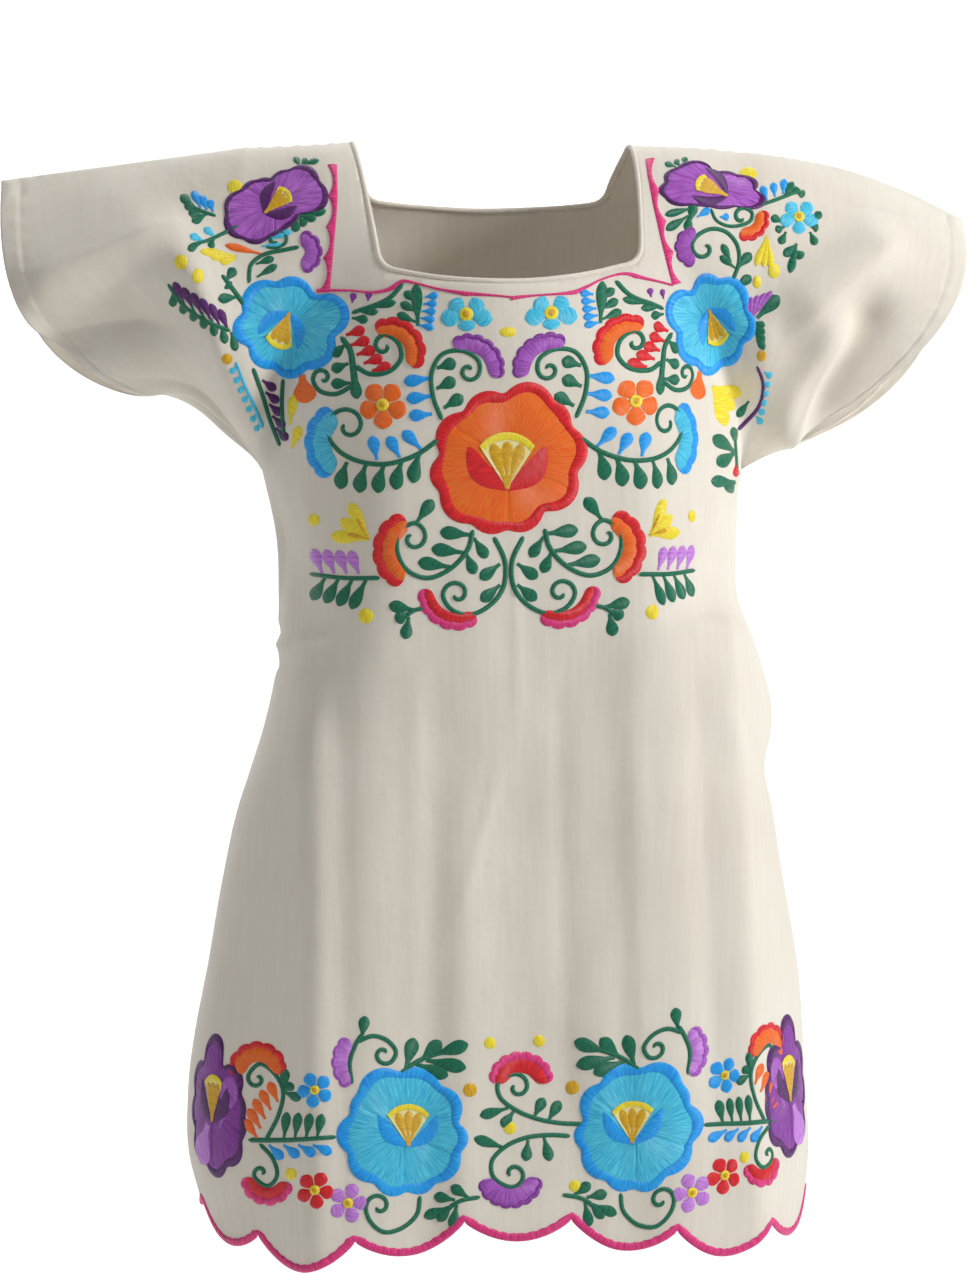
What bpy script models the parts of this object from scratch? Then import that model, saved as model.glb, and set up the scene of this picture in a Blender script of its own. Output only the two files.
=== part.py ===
"""Embroidered cotton blouse in a kimono cut: front, back and neck binding as thin walls of cloth.

The blouse is in its worn pose. +X is the viewer's right, -Y the front, +Z up, and the origin lies
between the shoulders, on the shoulder line. Each panel is one sheet P(across, rise), worked out from
rings of the body, the outline of each sleeve and a table of folds, with its inner face moved in.
"""

import math
from typing import NamedTuple

import bmesh
import bpy
import numpy as np

# Driving sizes, in metres
WALL = 0.0015
SEAM_GAP = 0.0002
UNDERARM_Z = -0.206
ARMHOLE_X = 0.165
NECK_ZONE_X = 0.108
CHEST_BLEND = 0.45
ARM_DEPTH = 0.062
CUFF_DEPTH = 0.045

# Hem scallops
SCALLOPS_A_PANEL = 8
SCALLOP_DROP = 0.0155

# Mesh steps of a panel
COLUMNS_A_SCALLOP = 6
LOWER_ROWS = 14
UPPER_ROWS = 13
SLEEVE_COLUMNS = 8

# The neck's cut is drawn up past the shoulders, and its cells are dropped inside it
NECK_CUT_TOP = 0.030

# Neck binding
BINDING_WIDTH = 0.0030
BINDING_HEIGHT = 0.0030
BINDING_GAP = 0.0003
BINDING_SIDES = 6


class Ring(NamedTuple):
    """A level section of the body: half-widths, half-depths and how square it is (2 is an ellipse)."""

    z: float
    left: float
    right: float
    front: float
    back: float
    square: float


RINGS = (
    Ring(z=-0.720, left=0.185, right=0.189, front=0.124, back=0.118, square=2.6),
    Ring(z=-0.667, left=0.191, right=0.192, front=0.123, back=0.117, square=2.6),
    Ring(z=-0.641, left=0.198, right=0.195, front=0.122, back=0.116, square=2.6),
    Ring(z=-0.597, left=0.199, right=0.194, front=0.121, back=0.115, square=2.6),
    Ring(z=-0.520, left=0.186, right=0.188, front=0.119, back=0.112, square=2.6),
    Ring(z=-0.468, left=0.177, right=0.179, front=0.118, back=0.110, square=2.6),
    Ring(z=-0.417, left=0.165, right=0.170, front=0.117, back=0.107, square=2.6),
    Ring(z=-0.398, left=0.158, right=0.165, front=0.117, back=0.106, square=2.6),
    Ring(z=-0.366, left=0.147, right=0.171, front=0.116, back=0.104, square=2.5),
    Ring(z=-0.315, left=0.139, right=0.160, front=0.116, back=0.102, square=2.5),
    Ring(z=-0.290, left=0.141, right=0.150, front=0.116, back=0.101, square=2.4),
    Ring(z=-0.250, left=0.143, right=0.152, front=0.116, back=0.100, square=2.4),
    Ring(z=-0.206, left=0.152, right=0.154, front=0.114, back=0.099, square=2.3),
)


class HemPoint(NamedTuple):
    """Height of the scallops' cusps at a place across the panel (-1 and 1 are the side seams)."""

    across: float
    z: float


HEM_LINE = (
    HemPoint(across=-1.00, z=-0.655),
    HemPoint(across=-0.75, z=-0.672),
    HemPoint(across=-0.50, z=-0.682),
    HemPoint(across=-0.25, z=-0.672),
    HemPoint(across=0.00, z=-0.664),
    HemPoint(across=0.25, z=-0.671),
    HemPoint(across=0.50, z=-0.677),
    HemPoint(across=0.75, z=-0.670),
    HemPoint(across=1.00, z=-0.652),
)


class SleeveHalf(NamedTuple):
    """The front or back half of a sleeve: its cuff edge runs from the seam's end up to the tip."""

    tip_x: float
    tip_z: float
    end_x: float
    end_z: float
    swell: float
    climb: float
    top_bow: float
    under_bow: float


LEFT_FRONT = SleeveHalf(
    tip_x=-0.317,
    tip_z=-0.0237,
    end_x=-0.224,
    end_z=-0.160,
    swell=2.5,
    climb=1.6,
    top_bow=0.0,
    under_bow=0.018,
)
LEFT_BACK = LEFT_FRONT._replace(swell=2.3, climb=1.5)
RIGHT_FRONT = SleeveHalf(
    tip_x=0.2995,
    tip_z=-0.0430,
    end_x=0.176,
    end_z=-0.191,
    swell=2.4,
    climb=1.0,
    top_bow=0.008,
    under_bow=0.0,
)
RIGHT_BACK = RIGHT_FRONT._replace(swell=2.6, climb=1.25)


class Fold(NamedTuple):
    """A crease seen from the front, from one end to the other: + height stands out, - height dips in."""

    x0: float
    z0: float
    x1: float
    z1: float
    width: float
    height: float
    crisp: bool


FRONT_FOLDS = (
    Fold(x0=-0.123, z0=-0.330, x1=-0.123, z1=-0.760, width=0.020, height=0.0075, crisp=True),
    Fold(x0=0.132, z0=-0.300, x1=0.156, z1=-0.740, width=0.016, height=0.0045, crisp=True),
    Fold(x0=-0.078, z0=-0.180, x1=-0.088, z1=-0.760, width=0.030, height=0.0050, crisp=False),
    Fold(x0=0.082, z0=-0.180, x1=0.096, z1=-0.760, width=0.030, height=0.0050, crisp=False),
    Fold(x0=0.004, z0=-0.240, x1=0.012, z1=-0.640, width=0.034, height=-0.0060, crisp=False),
    Fold(x0=-0.032, z0=-0.420, x1=-0.036, z1=-0.740, width=0.014, height=0.0035, crisp=False),
    Fold(x0=0.052, z0=-0.470, x1=0.056, z1=-0.740, width=0.014, height=0.0030, crisp=False),
    Fold(x0=-0.208, z0=-0.058, x1=-0.306, z1=-0.108, width=0.020, height=0.0110, crisp=True),
    Fold(x0=-0.222, z0=-0.106, x1=-0.290, z1=-0.140, width=0.026, height=-0.0100, crisp=False),
    Fold(x0=-0.206, z0=-0.062, x1=-0.158, z1=-0.190, width=0.018, height=0.0090, crisp=False),
    Fold(x0=0.214, z0=-0.112, x1=0.172, z1=-0.192, width=0.012, height=0.0080, crisp=False),
    Fold(x0=0.246, z0=-0.056, x1=0.176, z1=-0.108, width=0.016, height=0.0070, crisp=False),
    Fold(x0=0.236, z0=-0.098, x1=0.190, z1=-0.168, width=0.014, height=-0.0070, crisp=False),
    Fold(x0=-0.150, z0=-0.230, x1=-0.112, z1=-0.330, width=0.014, height=-0.0050, crisp=False),
    Fold(x0=0.150, z0=-0.220, x1=0.118, z1=-0.300, width=0.014, height=-0.0050, crisp=False),
)

BACK_FOLDS = (
    Fold(x0=-0.118, z0=-0.300, x1=-0.126, z1=-0.760, width=0.018, height=0.0060, crisp=True),
    Fold(x0=0.124, z0=-0.290, x1=0.134, z1=-0.760, width=0.018, height=0.0060, crisp=True),
    Fold(x0=-0.062, z0=-0.170, x1=-0.070, z1=-0.760, width=0.030, height=0.0045, crisp=False),
    Fold(x0=0.066, z0=-0.170, x1=0.078, z1=-0.760, width=0.030, height=0.0045, crisp=False),
    Fold(x0=0.004, z0=-0.200, x1=0.002, z1=-0.700, width=0.030, height=-0.0060, crisp=False),
    Fold(x0=0.034, z0=-0.440, x1=0.038, z1=-0.740, width=0.014, height=0.0035, crisp=False),
    Fold(x0=-0.214, z0=-0.060, x1=-0.296, z1=-0.112, width=0.020, height=0.0080, crisp=False),
    Fold(x0=-0.204, z0=-0.070, x1=-0.160, z1=-0.188, width=0.016, height=0.0070, crisp=False),
    Fold(x0=0.240, z0=-0.060, x1=0.176, z1=-0.120, width=0.016, height=0.0070, crisp=False),
    Fold(x0=0.222, z0=-0.118, x1=0.176, z1=-0.186, width=0.014, height=0.0070, crisp=False),
)


class NeckCut(NamedTuple):
    """The squarish neck opening of a panel, seen from the front."""

    left_top: float
    right_top: float
    left_low: float
    right_low: float
    left_z: float
    middle_z: float
    right_z: float
    corner: float


FRONT_NECK = NeckCut(
    left_top=-0.096,
    right_top=0.083,
    left_low=-0.083,
    right_low=0.083,
    left_z=-0.087,
    middle_z=-0.0945,
    right_z=-0.083,
    corner=0.013,
)
BACK_NECK = FRONT_NECK._replace(
    left_low=-0.086, right_low=0.076, left_z=-0.030, middle_z=-0.034, right_z=-0.030, corner=0.012
)


class Panel(NamedTuple):
    """One cut piece of cloth: where it lies (-1 front, 1 back) and what shapes it."""

    name: str
    side: int
    left_sleeve: SleeveHalf
    right_sleeve: SleeveHalf
    folds: tuple
    neck: NeckCut


FRONT = Panel("front_panel", -1, LEFT_FRONT, RIGHT_FRONT, FRONT_FOLDS, FRONT_NECK)
BACK = Panel("back_panel", 1, LEFT_BACK, RIGHT_BACK, BACK_FOLDS, BACK_NECK)


def ease(value):
    """A smooth step from 0 to 1."""
    value = np.clip(value, 0.0, 1.0)
    return value * value * (3.0 - 2.0 * value)


def through(xs, ys, at):
    """A smooth curve through the points (xs, ys), xs rising, read at the places given."""
    xs, ys, at = np.asarray(xs), np.asarray(ys), np.clip(at, xs[0], xs[-1])
    slopes = np.gradient(ys, xs)
    i = np.clip(np.searchsorted(xs, at) - 1, 0, len(xs) - 2)
    span = xs[i + 1] - xs[i]
    t = (at - xs[i]) / span
    from_left = ys[i] * (1 + 2 * t) * (1 - t) ** 2 + ys[i + 1] * t * t * (3 - 2 * t)
    from_slopes = span * (slopes[i] * t * (1 - t) ** 2 - slopes[i + 1] * t * t * (1 - t))
    return from_left + from_slopes


def ring_value(field, z):
    """A column of the ring table, read at the heights z."""
    return through([r.z for r in RINGS], [getattr(r, field) for r in RINGS], z)


def ring_point(panel, angle, z):
    """A point of the body's ring: angle 0 is the middle of the panel, a quarter turn its side seam."""
    sine, cosine = np.sin(angle), np.cos(angle)
    width = np.where(angle < 0, ring_value("left", z), ring_value("right", z))
    depth = ring_value("front" if panel.side < 0 else "back", z)
    square = ring_value("square", z)
    reach = (np.abs(sine) ** square + np.abs(cosine) ** square) ** (-1.0 / square)
    return width * sine * reach, depth * cosine * reach


def angle_table(panel):
    """Angles against the share of the hem's length, from -1 to 1, so that columns are even there."""
    angles = np.linspace(-math.pi / 2, math.pi / 2, 361)
    x, y = ring_point(panel, angles, np.full_like(angles, HEM_LINE[2].z))
    length = np.concatenate([[0.0], np.cumsum(np.hypot(np.diff(x), np.diff(y)))])
    return 2.0 * length / length[-1] - 1.0, angles


def hem_height(across):
    """The scalloped hem's height: 8 arcs a panel, with their cusps up."""
    cusps = through([p.across for p in HEM_LINE], [p.z for p in HEM_LINE], across)
    place = across * SCALLOPS_A_PANEL / 2.0
    return cusps - SCALLOP_DROP * np.abs(np.cos(math.pi * place)) ** 0.8


def shoulder_height(x):
    """The top seam's height between the armholes."""
    return 0.002 - 0.0035 * ease((np.abs(x) - 0.09) / 0.08)


def smooth_sheet(panel, across, rise):
    """The panel without folds. Rise is 0 at the hem, 1 at the underarm and 2 at the top seam."""
    share, angles = angle_table(panel)
    body = np.clip(across, -1.0, 1.0)
    angle = np.interp(body, share, angles)
    low = np.clip(rise, 0.0, 1.0)
    up = np.clip(rise - 1.0, 0.0, 1.0)
    hem = hem_height(body)
    z_low = hem + low * (UNDERARM_Z - hem)
    x_low, depth_low = ring_point(panel, angle, z_low)

    chest = ease(up / CHEST_BLEND)
    x = (1 - chest) * x_low + chest * body * ARMHOLE_X
    near_arm = ease((np.abs(body) * ARMHOLE_X - NECK_ZONE_X) / (ARMHOLE_X - NECK_ZONE_X))
    quarter = np.sin(math.pi * up / 2)
    half = (1 - np.cos(math.pi * up)) / 2
    z = UNDERARM_Z + (shoulder_height(x) - UNDERARM_Z) * ((1 - near_arm) * quarter + near_arm * half)
    middle = ring_value("front" if panel.side < 0 else "back", np.float64(UNDERARM_Z))
    outward = ease(np.abs(body))
    chest_depth = middle * (1 - outward) * np.cos(math.pi * up / 2)
    depth = (1 - chest) * depth_low * np.cos(math.pi * up / 2)
    depth = depth + chest * (chest_depth + outward * ARM_DEPTH * np.sin(math.pi * up))

    for sleeve, sign in ((panel.left_sleeve, -1), (panel.right_sleeve, 1)):
        out = np.clip(sign * across - 1.0, 0.0, 1.0)
        on = (sign * across > 1.0) & (rise >= 1.0)
        cuff_x = sleeve.end_x + (sleeve.tip_x - sleeve.end_x) * (1 - (1 - up) ** sleeve.swell)
        cuff_z = sleeve.end_z + (sleeve.tip_z - sleeve.end_z) * up**sleeve.climb
        bow = np.sin(math.pi * out) * (sleeve.top_bow * up**2 + sleeve.under_bow * (1 - up) ** 2)
        sleeve_x = (1 - out) * x + out * cuff_x
        sleeve_z = (1 - out) * z + out * cuff_z + bow
        open_arm = (1 - out) * chest + out
        reach = (1 - out) * ARM_DEPTH + out * CUFF_DEPTH
        x = np.where(on, sleeve_x, x)
        z = np.where(on, sleeve_z, z)
        depth = np.where(on, reach * open_arm * np.sin(math.pi * up), depth)

    below = rise < 1.0
    x = np.where(below, x_low, x)
    z = np.where(below, z_low, z)
    depth = np.where(below, depth_low, depth)
    return np.stack([x, panel.side * depth, z], axis=-1)


def fold_height(folds, x, z):
    """How far the folds stand out at a place seen from the front."""
    total = np.zeros_like(x)
    for fold in folds:
        along = np.array([fold.x1 - fold.x0, fold.z1 - fold.z0])
        length = float(np.hypot(*along))
        along = along / length
        run = ((x - fold.x0) * along[0] + (z - fold.z0) * along[1]) / length
        aside = (x - fold.x0) * along[1] - (z - fold.z0) * along[0]
        profile = np.exp(-((aside / fold.width) ** 2))
        if fold.crisp:
            profile = np.exp(-np.sqrt((aside / fold.width) ** 2 + 0.01) + 0.1)
        ends = ease((run + 0.15) / 0.35) * ease((1.15 - run) / 0.35)
        total = total + fold.height * profile * ends
    return total


def outward_of(panel, across, rise):
    """Unit normals of the smooth sheet, pointing away from the wearer."""
    step = 1e-3
    right = smooth_sheet(panel, across + step, rise) - smooth_sheet(panel, across - step, rise)
    upper = np.minimum(rise + step, 2.0)
    lower = np.maximum(rise - step, 0.0)
    high = smooth_sheet(panel, across, upper) - smooth_sheet(panel, across, lower)
    normal = np.cross(right, high) * -panel.side
    return normal / np.maximum(np.linalg.norm(normal, axis=-1, keepdims=True), 1e-9)


def sheet(panel, across, rise):
    """Points on the panel's outer face, folds included, and unit normals, clear of the seam plane."""
    points = smooth_sheet(panel, across, rise)
    from_side = ease((1.0 - np.abs(across)) / 0.08)
    from_top = ease((2.0 - rise) / 0.18)
    from_under = np.where(np.abs(across) > 1.0, ease((rise - 1.0) / 0.15), 1.0)
    hold = np.where(rise <= 1.0, from_side, 1.0) * from_top * from_under
    height = fold_height(panel.folds, points[..., 0], points[..., 2]) * hold
    normal = outward_of(panel, across, rise)
    points = points + normal * height[..., None]
    clear = SEAM_GAP + WALL * np.abs(normal[..., 1])
    points[..., 1] = panel.side * np.maximum(panel.side * points[..., 1], clear)
    return points, normal


def neck_outline(neck):
    """The neck cut as points seen from the front, from the left shoulder round to the right one."""
    points = [(neck.left_top, NECK_CUT_TOP), (neck.left_top, 0.0)]
    corners = ((neck.left_low, neck.left_z, 1), (neck.right_low, neck.right_z, -1))
    arcs = []
    for x, z, sign in corners:
        turns = np.linspace(0.0, math.pi / 2, 5)
        centre_x, centre_z = x + sign * neck.corner, z + neck.corner
        arc = [
            (centre_x - sign * neck.corner * math.cos(a), centre_z - neck.corner * math.sin(a))
            for a in turns
        ]
        arcs.append(arc)
    points += arcs[0]
    start, end = arcs[0][-1][0], arcs[1][-1][0]
    for part in np.linspace(0.0, 1.0, 9)[1:-1]:
        level = neck.left_z + (neck.right_z - neck.left_z) * part
        dip = neck.middle_z - (neck.left_z + neck.right_z) / 2
        points.append((start + (end - start) * part, level + dip * 4 * part * (1 - part)))
    points += arcs[1][::-1]
    points += [(neck.right_top, 0.0), (neck.right_top, NECK_CUT_TOP)]
    return np.array(points)


def inside(outline, x, z):
    """Whether places lie inside a closed outline, by counting crossings."""
    found = np.zeros(np.shape(x), dtype=bool)
    for (x0, z0), (x1, z1) in zip(outline, np.roll(outline, -1, axis=0)):
        if z0 == z1:
            continue
        crosses = ((z0 > z) != (z1 > z)) & (x < (x1 - x0) * (z - z0) / (z1 - z0) + x0)
        found ^= crosses
    return found


def nearest_on(outline, x, z):
    """The nearest point of an open outline to a place."""
    place = np.array([x, z])
    start, run = outline[:-1], np.diff(outline, axis=0)
    part = np.clip(((place - start) * run).sum(1) / (run**2).sum(1), 0.0, 1.0)
    feet = start + run * part[:, None]
    return feet[np.argmin(((feet - place) ** 2).sum(1))]


def settle(panel, across, rise, target):
    """The (across, rise) whose point lies at the target, seen from the front."""
    for _ in range(6):
        here = smooth_sheet(panel, np.array([across, across + 1e-4]), np.array([rise, rise]))
        above = smooth_sheet(panel, np.array([across]), np.array([min(rise + 1e-4, 2.0)]))
        by_across = (here[1, 0] - here[0, 0]) / 1e-4
        by_rise = (above[0, 2] - here[0, 2]) / 1e-4
        across += (target[0] - here[0, 0]) / max(by_across, 1e-3)
        if by_rise > 1e-3 and rise < 1.985:
            rise = min(rise + (target[1] - here[0, 2]) / by_rise, 2.0)
    return across, rise


def panel_grid(panel):
    """The panel's grid places by (column, row), without the cells that its outline leaves out."""
    half = SCALLOPS_A_PANEL * COLUMNS_A_SCALLOP // 2
    rows = LOWER_ROWS + UPPER_ROWS
    places = {}
    for column in range(-half - SLEEVE_COLUMNS, half + SLEEVE_COLUMNS + 1):
        beyond = max(0, abs(column) - half)
        across = math.copysign(min(abs(column) / half, 1.0) + beyond / SLEEVE_COLUMNS, column)
        for row in range(LOWER_ROWS if beyond else 0, rows + 1):
            rise = row / LOWER_ROWS if row <= LOWER_ROWS else 1 + (row - LOWER_ROWS) / UPPER_ROWS
            places[column, row] = (across, rise)
    return places


def cut_neck(panel, places):
    """The cells that stay, and the rim places moved onto the neck cut, with the rim from left to right."""
    outline = neck_outline(panel.neck)
    cells, gone = [], []
    for column, row in places:
        corners = [(column, row), (column + 1, row), (column + 1, row + 1), (column, row + 1)]
        if not all(c in places for c in corners):
            continue
        middle = np.mean([places[c] for c in corners], axis=0)
        point = smooth_sheet(panel, middle[:1], middle[1:])[0]
        (gone if inside(outline, point[0], point[2]) else cells).append(corners)
    kept = {c for cell in cells for c in cell}
    rim = kept & {c for cell in gone for c in cell}
    for key in rim:
        across, rise = places[key]
        here = smooth_sheet(panel, np.array([across]), np.array([rise]))[0]
        if rise > 1.99:
            shift = outline[0 if here[0] < 0 else -1][0] - here[0]
            places[key] = (across + shift / ARMHOLE_X, rise)
            continue
        foot = nearest_on(outline, here[0], here[2])
        places[key] = settle(panel, across, rise, foot)
    return cells, ordered_rim(cells, rim)


def ordered_rim(cells, rim):
    """The neck's rim as a chain of grid places, from the viewer's left to right."""
    edges = {}
    for cell in cells:
        for a, b in zip(cell, cell[1:] + cell[:1]):
            edges[frozenset((a, b))] = edges.get(frozenset((a, b)), 0) + 1
    links = {key: [] for key in rim}
    for edge, count in edges.items():
        a, b = tuple(edge)
        if count == 1 and a in rim and b in rim:
            links[a].append(b)
            links[b].append(a)
    chain = [min(key for key in rim if len(links[key]) == 1)]
    while True:
        ahead = [key for key in links[chain[-1]] if key not in chain]
        if not ahead:
            return chain
        chain.append(ahead[0])


def cloth_material(name, colour):
    """A plain woven cotton: one colour, rough, no metal."""
    material = bpy.data.materials.new(name)
    material.use_nodes = True
    shader = material.node_tree.nodes["Principled BSDF"]
    shader.inputs["Base Color"].default_value = (*colour, 1.0)
    shader.inputs["Roughness"].default_value = 0.9
    shader.inputs["Metallic"].default_value = 0.0
    return material


def build_panel(panel, collection, material):
    """One cut panel as a wall whose rims at the seams are flat. Returns the points along its neck rim."""
    places = panel_grid(panel)
    cells, rim = cut_neck(panel, places)
    used = sorted({key for cell in cells for key in cell})
    across = np.array([places[key][0] for key in used])
    rise = np.array([places[key][1] for key in used])
    outer, normals = sheet(panel, across, rise)
    inner = outer - normals * WALL
    inner[:, 1] = panel.side * np.maximum(panel.side * inner[:, 1], SEAM_GAP)

    work = bmesh.new()
    skin = {key: work.verts.new(point) for key, point in zip(used, outer)}
    lining = {key: work.verts.new(point) for key, point in zip(used, inner)}
    rim_edges = {}
    for cell in cells:
        ordered = cell if panel.side < 0 else cell[::-1]
        work.faces.new([skin[key] for key in ordered])
        work.faces.new([lining[key] for key in ordered[::-1]])
        for a, b in zip(ordered, ordered[1:] + ordered[:1]):
            if rim_edges.pop((b, a), None) is None:
                rim_edges[a, b] = True
    for a, b in rim_edges:
        work.faces.new([skin[b], skin[a], lining[a], lining[b]])
    mesh = bpy.data.meshes.new(panel.name)
    work.to_mesh(mesh)
    work.free()
    mesh.shade_smooth()
    mesh.materials.append(material)
    collection.objects.link(bpy.data.objects.new(panel.name, mesh))
    at = dict(zip(used, zip(outer, normals)))
    return [at[key] for key in rim]


def build_binding(front_rim, back_rim, collection, material):
    """The rolled strip on the neck edge: a closed ring made from both rims, moved into the opening."""
    loop = front_rim + back_rim[::-1]
    points = np.array([point for point, _ in loop])
    outward = np.array([normal for _, normal in loop])
    run = np.roll(points, -1, axis=0) - np.roll(points, 1, axis=0)
    run /= np.linalg.norm(run, axis=1, keepdims=True)
    outward -= (outward * run).sum(1, keepdims=True) * run
    outward /= np.linalg.norm(outward, axis=1, keepdims=True)
    inward = np.cross(outward, run)
    centre = points.mean(axis=0)
    if ((centre - points) * inward).sum() < 0:
        inward = -inward
    core = points + inward * (BINDING_GAP + BINDING_WIDTH / 2) - outward * WALL / 2

    work = bmesh.new()
    rings = []
    for middle, side, face in zip(core, inward, outward):
        ring = []
        for step in range(BINDING_SIDES):
            turn = 2 * math.pi * step / BINDING_SIDES
            offset = side * math.cos(turn) * BINDING_WIDTH / 2 + face * math.sin(turn) * BINDING_HEIGHT / 2
            ring.append(work.verts.new(middle + offset))
        rings.append(ring)
    for ring, ahead in zip(rings, rings[1:] + rings[:1]):
        for step in range(BINDING_SIDES):
            after = (step + 1) % BINDING_SIDES
            work.faces.new([ring[step], ring[after], ahead[after], ahead[step]])
    bmesh.ops.recalc_face_normals(work, faces=work.faces)
    mesh = bpy.data.meshes.new("neck_binding")
    work.to_mesh(mesh)
    work.free()
    mesh.shade_smooth()
    mesh.materials.append(material)
    collection.objects.link(bpy.data.objects.new("neck_binding", mesh))


def main():
    for item in list(bpy.data.objects):
        bpy.data.objects.remove(item, do_unlink=True)
    collection = bpy.data.collections.new("embroidered_blouse")
    bpy.context.scene.collection.children.link(collection)
    cotton = cloth_material("cream_cotton", (0.80, 0.76, 0.68))
    bias = cloth_material("cream_bias", (0.82, 0.78, 0.70))
    front_rim = build_panel(FRONT, collection, cotton)
    back_rim = build_panel(BACK, collection, cotton)
    build_binding(front_rim, back_rim, collection, bias)


main()
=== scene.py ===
"""The looks of an embroidered cotton blouse: fine cloth, satin-stitch flowers, edging, camera and light.

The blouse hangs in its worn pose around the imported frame. Lengths are in metres unless a name says
mm, and a place on the front is given by the pixel of the 973 x 1273 photograph where it is seen.
"""

import logging
import math
from dataclasses import dataclass, field
from enum import Enum
from typing import Callable, Iterable, Sequence

import bpy
import numpy as np
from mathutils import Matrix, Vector
from mathutils.bvhtree import BVHTree

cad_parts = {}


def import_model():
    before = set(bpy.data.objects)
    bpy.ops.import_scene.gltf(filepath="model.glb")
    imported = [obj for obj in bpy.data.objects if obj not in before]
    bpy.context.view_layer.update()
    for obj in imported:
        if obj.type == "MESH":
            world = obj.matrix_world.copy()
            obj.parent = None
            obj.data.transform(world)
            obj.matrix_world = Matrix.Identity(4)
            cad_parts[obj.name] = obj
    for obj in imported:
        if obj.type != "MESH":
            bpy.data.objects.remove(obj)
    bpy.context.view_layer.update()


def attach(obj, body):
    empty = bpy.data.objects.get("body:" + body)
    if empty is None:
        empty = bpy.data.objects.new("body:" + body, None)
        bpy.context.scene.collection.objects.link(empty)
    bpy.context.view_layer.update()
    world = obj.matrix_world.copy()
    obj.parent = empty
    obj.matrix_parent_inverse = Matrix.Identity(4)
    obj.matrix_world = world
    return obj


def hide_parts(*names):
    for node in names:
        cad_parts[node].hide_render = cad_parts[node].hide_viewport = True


LOG = logging.getLogger("blouse")

MM = 0.001
PHOTO_WIDTH = 973
PHOTO_HEIGHT = 1273

# The form of the blouse, as in its solids
SEAM_GAP = 0.00005
CLOTH_WALL = 0.0009
UNDERARM_Z = -0.206
ARMHOLE_X = 0.165
NECK_ZONE_X = 0.108
CHEST_BLEND = 0.45
ARM_DEPTH = 0.062
CUFF_DEPTH = 0.045
SCALLOPS_A_PANEL = 8
SCALLOP_DROP = 0.0155
NECK_CUT_TOP = 0.030


class Side(Enum):
    """Which way a panel faces: the sign of its Y."""

    FRONT = -1
    BACK = 1


@dataclass(frozen=True)
class Ring:
    """A level section of the body: half-widths, half-depths and how square it is (2 is an ellipse)."""

    z: float
    left: float
    right: float
    front: float
    back: float
    square: float


RINGS = (
    Ring(z=-0.720, left=0.185, right=0.189, front=0.124, back=0.118, square=2.6),
    Ring(z=-0.667, left=0.191, right=0.192, front=0.123, back=0.117, square=2.6),
    Ring(z=-0.641, left=0.198, right=0.195, front=0.122, back=0.116, square=2.6),
    Ring(z=-0.597, left=0.199, right=0.194, front=0.121, back=0.115, square=2.6),
    Ring(z=-0.520, left=0.186, right=0.188, front=0.119, back=0.112, square=2.6),
    Ring(z=-0.468, left=0.177, right=0.179, front=0.118, back=0.110, square=2.6),
    Ring(z=-0.417, left=0.165, right=0.170, front=0.117, back=0.107, square=2.6),
    Ring(z=-0.398, left=0.158, right=0.165, front=0.117, back=0.106, square=2.6),
    Ring(z=-0.366, left=0.147, right=0.171, front=0.116, back=0.104, square=2.5),
    Ring(z=-0.315, left=0.139, right=0.160, front=0.116, back=0.102, square=2.5),
    Ring(z=-0.290, left=0.141, right=0.150, front=0.116, back=0.101, square=2.4),
    Ring(z=-0.250, left=0.143, right=0.152, front=0.116, back=0.100, square=2.4),
    Ring(z=-0.206, left=0.152, right=0.154, front=0.114, back=0.099, square=2.3),
)


@dataclass(frozen=True)
class HemPoint:
    """Height of the scallops' cusps at a place across the panel (-1 and 1 are the side seams)."""

    across: float
    z: float


HEM_LINE = (
    HemPoint(across=-1.00, z=-0.655),
    HemPoint(across=-0.75, z=-0.672),
    HemPoint(across=-0.50, z=-0.682),
    HemPoint(across=-0.25, z=-0.672),
    HemPoint(across=0.00, z=-0.664),
    HemPoint(across=0.25, z=-0.671),
    HemPoint(across=0.50, z=-0.677),
    HemPoint(across=0.75, z=-0.670),
    HemPoint(across=1.00, z=-0.652),
)


@dataclass(frozen=True)
class SleeveHalf:
    """The front or back half of a sleeve: its cuff edge runs from the seam's end up to the tip."""

    tip_x: float
    tip_z: float
    end_x: float
    end_z: float
    swell: float
    climb: float
    top_bow: float
    under_bow: float


@dataclass(frozen=True)
class Fold:
    """A crease seen from the front, from one end to the other: + height stands out, - height dips in."""

    x0: float
    z0: float
    x1: float
    z1: float
    width: float
    height: float
    crisp: bool = False


@dataclass(frozen=True)
class NeckCut:
    """The squarish neck opening of a panel, seen from the front."""

    left_top: float
    right_top: float
    left_low: float
    right_low: float
    left_z: float
    middle_z: float
    right_z: float
    corner: float


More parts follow.
